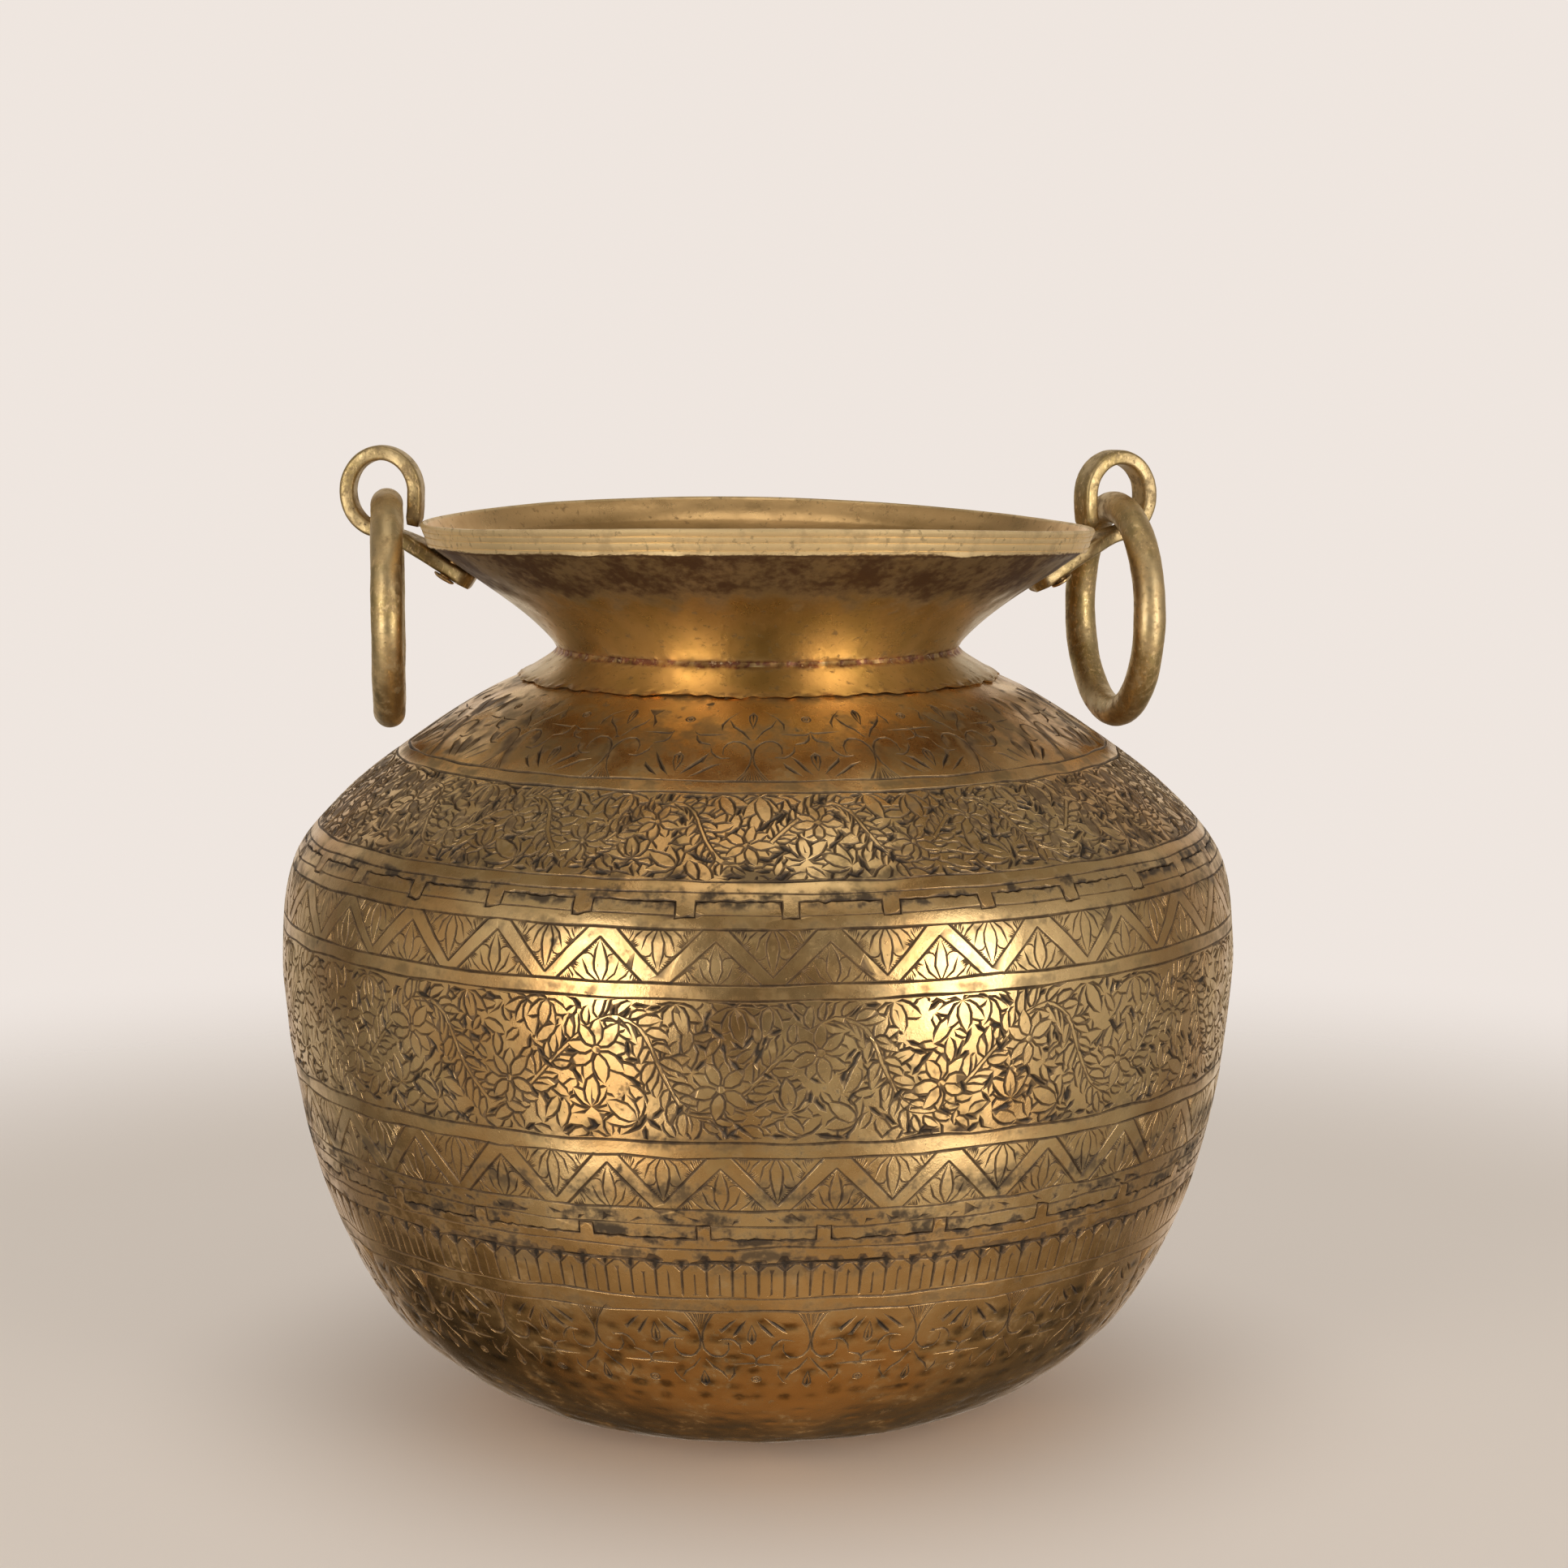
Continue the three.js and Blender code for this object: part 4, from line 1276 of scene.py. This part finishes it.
def engraved_brass(name, tones, stains, seed, dimple_soot=0.0):
    """Hammered and engraved sheet; stains are (level, half width, strength) rings of grime."""
    p = Paint(name)
    large, medium = p.noise(70, 4, seed=seed), p.noise(16, 4, seed=seed + 1)
    small, specks = p.noise(4.5, 5, seed=seed + 2), p.noise(1.1, 3, seed=seed + 3)
    cut, level = p.attribute("cut"), p.times(p.attribute("level"), 100.0)
    colour = p.mix(p.between(large, 0.36, 0.62), tones[0], tones[1])
    colour = p.mix(p.times(p.between(medium, 0.45, 0.7), 0.4), colour, tones[2])
    wobble = p.shaken(level, p.noise(9, 3, seed=seed + 4), 7.0)
    grime = p.times(p.between(p.blend(medium, small, 0.5), 0.53, 0.66), 0.5)
    patchy = p.between(p.blend(medium, small), 0.44, 0.6, 0.15, 1.0)
    black = p.times(p.between(p.noise(9, 5, seed=seed + 5), 0.6, 0.72),
                    p.between(p.noise(75, 2, seed=seed + 6), 0.42, 0.6, 0.05, 0.85))
    for middle, half, strength in stains:
        ring = p.times(p.band(wobble, middle, half), patchy)
        grime = p.most(grime, p.times(ring, strength))
        black = p.most(black, p.times(p.times(ring, ring), strength * 0.7))
    pit = p.between(specks, 0.69, 0.76)
    groove = p.times(p.between(cut, 0.0, 0.11), p.between(small, 0.3, 0.65, 0.8, 1.0))
    soot = p.times(p.between(cut, 0.3, 0.8), 0.85)
    colour = p.mix(p.times(grime, 0.8), colour, TARNISH)
    colour = p.mix(p.times(groove, 0.9), colour, TARNISH)
    black = p.most(soot, p.times(pit, 0.7), black)
    colour = p.mix(black, colour, SOOT)
    if dimple_soot:
        mark = p.times(p.between(p.attribute("dent"), 0.0, 0.3), p.between(small, 0.3, 0.6, 0.4, 1.0))
        colour = p.mix(p.times(mark, dimple_soot), colour, SOOT)
    dirt = p.most(grime, groove, black)
    metal = p.between(dirt, 0.0, 1.0, 1.0, 0.35)
    roughness = p.plus(p.between(medium, 0.3, 0.7, 0.21, 0.34), p.times(dirt, 0.3))
    height = p.plus(p.times(small, 0.6), p.plus(p.times(specks, 0.25), p.times(pit, -0.5)))
    return p.finish(colour, metal, roughness, height, 0.16)


HEM_LOW = 381         # height of the hem's lower edge
STAINED = (354, 367)  # heights over which the stain under it thickens


def collar_brass():
    """Lathe-scraped hem, russet stain under it, a painted shadow line along the hem's lower edge, and
    solder at the neck.
    """
    p = Paint("collar_brass_aged")
    large, medium = p.noise(60, 4, seed=31), p.noise(13, 4, seed=32)
    small = p.noise(3.4, 5, seed=33)
    streaks = p.noise(22, 3, (1, 1, 0.12), seed=34)
    height = p.times(p.attribute("height"), 100.0)
    inside, residue = p.attribute("inside"), p.attribute("residue")
    colour = p.mix(p.between(large, 0.38, 0.62, 0.0, 0.6), MELLOW_GOLD, OLIVE_GOLD)
    colour = p.mix(p.times(p.between(streaks, 0.46, 0.64), 0.5), colour, OLIVE_GOLD)
    wobble = p.shaken(height, medium, 24.0)
    stain = p.times(p.between(wobble, *STAINED), p.between(height, HEM_LOW + 0.5, HEM_LOW - 0.5))
    blots = p.between(p.blend(streaks, small), 0.4, 0.58, 0.68, 1.0)
    on_hem = p.times(p.between(height, HEM_LOW - 1, HEM_LOW), 0.3)
    hem = p.times(p.between(medium, 0.5, 0.7), on_hem)
    # painted shadow: a ragged dark line along the hem's lower edge, where the gap under the hem would
    # be shaded
    under = p.times(p.band(p.shaken(height, small, 3.0), HEM_LOW - 0.4, 1.3), 0.95)
    # from here grime, and dirt below, carry the real stains and the painted shadow under the hem
    # together
    grime = p.most(p.times(stain, blots), hem, under)
    grime = p.times(grime, p.between(inside, 0.4, 0.6, 1.0, 0.25))
    grime = p.most(grime, p.times(p.between(small, 0.56, 0.7), 0.5))
    bright = p.times(p.between(height, HEM_LOW - 0.5, HEM_LOW + 0.5), 0.8)
    colour = p.mix(bright, colour, PALE_GOLD)
    colour = p.mix(p.times(inside, 0.6), colour, ORANGE_GOLD)
    colour = p.mix(p.times(grime, 0.95), colour, RUSSET)
    burnt = p.mix(p.between(small, 0.42, 0.56), DEEP_GOLD, COPPER)
    burnt = p.mix(p.between(medium, 0.42, 0.6, 0.1, 0.6), burnt, SOOT)
    colour = p.mix(p.between(residue, 0.15, 0.6), colour, burnt)
    solder = p.times(p.between(small, 0.6, 0.68), p.between(residue, 0.2, 0.5))
    colour = p.mix(solder, colour, SPELTER)
    dirt = p.most(grime, p.times(residue, 0.7))
    roughness = p.plus(p.between(medium, 0.3, 0.7, 0.26, 0.38), p.times(dirt, 0.24))
    outside = p.between(inside, 0.4, 0.6, 1.0, 0.0)
    scraped = p.times(p.between(height, HEM_LOW - 0.2, HEM_LOW + 1), outside)
    metal = p.times(p.between(dirt, 0.0, 1.0, 1.0, 0.6), p.between(scraped, 0, 1, 1.0, 0.6))
    roughness = p.plus(roughness, p.times(scraped, 0.1))
    return p.finish(colour, metal, roughness, small, 0.12)


def cast_brass(name, tones, seed, roughness):
    """Dull castings, rubbed bright where hands and neighbours touch them."""
    p = Paint(name)
    large, medium, small = (p.noise(size, 4, seed=seed + k) for k, size in enumerate((24, 7, 1.6)))
    edge = p.node("ShaderNodeNewGeometry").outputs["Pointiness"]
    colour = p.mix(p.between(large, 0.38, 0.62), tones[0], tones[1])
    grime = p.times(p.between(p.blend(medium, small), 0.48, 0.62), 0.8)
    colour = p.mix(grime, colour, CAST_DARK)
    flecks = p.between(p.noise(1.5, 4, (1, 1, 0.5), seed=seed + 4), 0.54, 0.64)
    flecks = p.times(flecks, p.between(large, 0.36, 0.56))
    colour = p.mix(p.times(flecks, 0.75), colour, PALE_GOLD)
    pit = p.between(small, 0.66, 0.74)
    colour = p.mix(p.times(pit, 0.8), colour, SOOT)
    rubbed = p.times(p.between(edge, 0.505, 0.53), p.between(medium, 0.35, 0.6))
    colour = p.mix(p.times(rubbed, 0.7), colour, GOLD)
    dull = p.plus(p.between(medium, 0.3, 0.7, roughness, roughness + 0.12), p.times(grime, 0.15))
    height = p.plus(p.times(medium, 0.5), p.plus(p.times(small, 0.4), p.times(pit, -0.4)))
    return p.finish(colour, p.between(grime, 0.0, 1.0, 1.0, 0.6), dull, height, 0.22)


# ---- the pot --------------------------------------------------------------------------------
def add(piece, body, nodes, material):
    piece.data.materials.append(material)
    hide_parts(*nodes)
    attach(piece, body)


upper_line = toothed_line(UPPER_SEAM, UPPER_TEETH, 3)
lower_line = toothed_line(LOWER_SEAM, LOWER_TEETH, 4)
planished = Ripples(5, 40, 16, 80, 0.22)
peened = Dimples(6, 6, 112, 9, 10, 0.3)
struck = Dimples(8, 110, 158, 8, 10, 0.45)


def bowl_relief(azimuth, level):
    return sum(marks(azimuth, level) for marks in (planished, peened, struck))


shoulder = sheet("shoulder_sheet", seam_edge(upper_line, 1, 7, 0.5), plain_edge(462),
                 shoulder_engraving(), planished, 8)
drum = sheet("drum_sheet", seam_edge(lower_line, 1, 8, 0.5), seam_edge(upper_line, -1, 9, 0.5),
             drum_engraving(), planished, 8)
bowl = sheet("bowl_sheet", plain_edge(0), seam_edge(lower_line, -1, 10, 0.5), bowl_engraving(),
             bowl_relief, 2.4, struck, True)

add(shoulder, "pot", ["shoulder"],
    engraved_brass("shoulder_brass_aged", (GOLD, DEEP_GOLD, OLIVE_GOLD),
                   [(331, 5, 1.0), (449, 9, 0.45), (416, 24, 0.35), (388, 4, 0.4), (341, 5, 0.6)], 1))
add(drum, "pot", ["drum"],
    engraved_brass("drum_brass_aged", (GOLD, DEEP_GOLD, OLIVE_GOLD),
                   [(329, 5, 1.0), (318, 6, 0.5), (194, 6, 1.0), (201, 5, 0.95), (213, 9, 0.75),
                    (234, 6, 0.55), (293, 4, 0.4)], 7))
add(bowl, "pot", ["bowl"],
    engraved_brass("bowl_brass_aged", (ORANGE_GOLD, DEEP_GOLD, GOLD),
                   [(191, 4, 1.0), (185, 4.5, 0.85), (178, 6, 0.5), (161, 4, 0.5)], 13, 0.68))
add(collar_sheet(), "pot", ["collar"], collar_brass())

cast = cast_brass("cast_brass_aged", (CAST, OLIVE_GOLD), 41, 0.42)
wire = cast_brass("ring_brass_aged", (CAST, OLIVE_GOLD), 51, 0.40)
heads = cast_brass("rivet_brass_aged", (DEEP_GOLD, CAST), 61, 0.32)
for side in SIDES:
    add(bracket_bar(side), "pot", [f"bracket_{side}"], cast)
    add(carrying_ring(side), f"ring_{side}", [f"ring_{side}"], wire)
    for hand, label in ((-1, "a"), (1, "b")):
        add(rivet_pin(side, hand, label), "pot", [f"rivet_{side}_{label}"], heads)


# ---- studio ---------------------------------------------------------------------------------
BACKDROP = (0.86, 0.79, 0.74)


def softbox(name, azimuth, elevation, distance, size, power, colour=(1, 0.95, 0.88)):
    """Area light aimed at the pot; azimuth is from the camera's side, + to its right."""
    light = bpy.data.lights.new(name, "AREA")
    light.shape = "RECTANGLE"
    light.size, light.size_y = size
    light.energy, light.color = power, colour
    obj = new_object(name, light)
    a, e = math.radians(azimuth), math.radians(elevation)
    away = Vector((math.sin(a) * math.cos(e), -math.cos(a) * math.cos(e), math.sin(e)))
    obj.location = Vector((0, 0, 0.2)) + away * distance
    obj.rotation_euler = away.to_track_quat("Z", "Y").to_euler()
    obj.visible_camera = False


softbox("softbox_left", -36, 2, 2.2, (0.85, 2.7), 14)
softbox("softbox_right", 46, 2, 2.2, (0.95, 2.7), 15)
softbox("softbox_left_core", -35, 3, 2.1, (0.45, 0.9), 6, (1, 0.98, 0.93))
softbox("softbox_right_core", 42, 3, 2.1, (0.45, 0.9), 7, (1, 0.98, 0.93))
softbox("softbox_top", 0, 75, 2.0, (1.4, 1.4), 5)

# What the brass mirrors: (degrees from the front, light), from behind the pot by its left.
LEVEL_RING = [(-180, 0.9), (-150, 0.75), (-126, 0.2), (-108, 0.04), (-94, 0.42), (-70, 0.5),
              (-48, 0.32), (-10, 0.15), (14, 0.11), (60, 0.42), (80, 0.52), (100, 0.3),
              (120, 0.18), (142, 0.6), (180, 0.9)]
LOW_RING = [(-180, 0.06), (-120, 0.03), (-95, 0.07), (-72, 0.26), (-40, 0.38), (-8, 0.44),
            (18, 0.4), (44, 0.32), (84, 0.26), (120, 0.1), (180, 0.06)]
LEVEL_TINT, LOW_TINT = (1, 0.92, 0.82), (1, 0.84, 0.63)
CEILING, TABLE = (0.18, 0.155, 0.115), (0.26, 0.16, 0.078)


def surroundings():
    """What the brass mirrors: a ring of panels and dark gaps, a dim ceiling and a warm table."""
    world = bpy.data.worlds.new("studio")
    bpy.context.scene.world = world
    w = Nodes(world)
    toward = w.node("ShaderNodeTexCoord").outputs["Generated"]
    x, y, z = w.node("ShaderNodeSeparateXYZ", [toward]).outputs
    turn = w.math("ARCTAN2", x, w.math("MULTIPLY", y, -1))
    share = w.node("ShaderNodeMapRange", [turn, -math.pi, math.pi]).outputs[0]

    def ring(stops, tint):
        ramp_node = w.node("ShaderNodeValToRGB", [share])
        ramp_node.color_ramp.interpolation = "B_SPLINE"
        row = ramp_node.color_ramp.elements
        row.remove(row[1])
        for k, (degrees, light) in enumerate(stops):
            position = (degrees + 180) / 360
            stop = row[0] if k == 0 else row.new(position)
            stop.position = position
            stop.color = (*(light * part for part in tint), 1)
        return ramp_node.outputs[0]

    def layer(colour, low, high, over):
        return w.mix(w.node("ShaderNodeMapRange", [z, low, high]).outputs[0], colour, over)

    colour = layer(ring(LEVEL_RING, LEVEL_TINT), 0.45, 0.85, CEILING)
    colour = layer(colour, -0.32, -0.55, ring(LOW_RING, LOW_TINT))
    colour = layer(colour, -0.82, -0.95, TABLE)
    seen = w.node("ShaderNodeLightPath").outputs["Is Camera Ray"]
    w.feed(w.tree.nodes["Background"].inputs["Color"], w.mix(seen, colour, BACKDROP))


FLOOR_COLOUR = (0.62, 0.55, 0.48)
SHADE, FADE = (60, 300), (500, 1100)   # radii of the painted shadow round the foot, where the floor's glow is dimmed, and of the fading


def fading_floor():
    """A pale disc, its glow dimmed under the pot as a painted shadow, that melts into the backdrop
    further out.
    """
    bpy.ops.mesh.primitive_circle_add(vertices=128, radius=3, fill_type="NGON",
                                      location=(0, 0, -0.0005))
    disc = bpy.context.object
    disc.name = "floor"
    disc.visible_glossy = disc.visible_shadow = False
    p = Paint("floor_pale")
    far = p.node("ShaderNodeVectorMath", [p.at], operation="LENGTH").outputs["Value"]
    clear = p.node("ShaderNodeBsdfTransparent").outputs[0]
    shares = [p.between(far, *FADE), p.shader.outputs[0], clear]
    fade = p.node("ShaderNodeMixShader", shares).outputs[0]
    # painted shadow: the floor glows less towards the foot, so it is darker round the pot
    glow_dimmed_for_painted_shadow = p.between(far, *SHADE, 0.05, 0.36)
    for key, value in (("Base Color", (*FLOOR_COLOUR, 1)), ("Emission Color", (*BACKDROP, 1)),
                       ("Emission Strength", glow_dimmed_for_painted_shadow), ("Roughness", 0.7)):
        p.feed(p.shader.inputs[key], value)
    p.feed(p.tree.nodes["Material Output"].inputs["Surface"], fade)
    disc.data.materials.append(p.material)
    return disc


surroundings()
ground = fading_floor()

LENS, AWAY, HEIGHT, PITCH, YAW = 78.265, 1.49846, 0.46259, 7.277, 0.439
view = bpy.data.cameras.new("camera")
view.lens, view.sensor_width = LENS, 36
camera = new_object("camera", view)
camera.location = (0, -AWAY, HEIGHT)
camera.rotation_euler = (math.radians(90 - PITCH), 0, -math.radians(YAW))
bpy.context.scene.camera = camera
bpy.context.scene.view_settings.view_transform = "Standard"
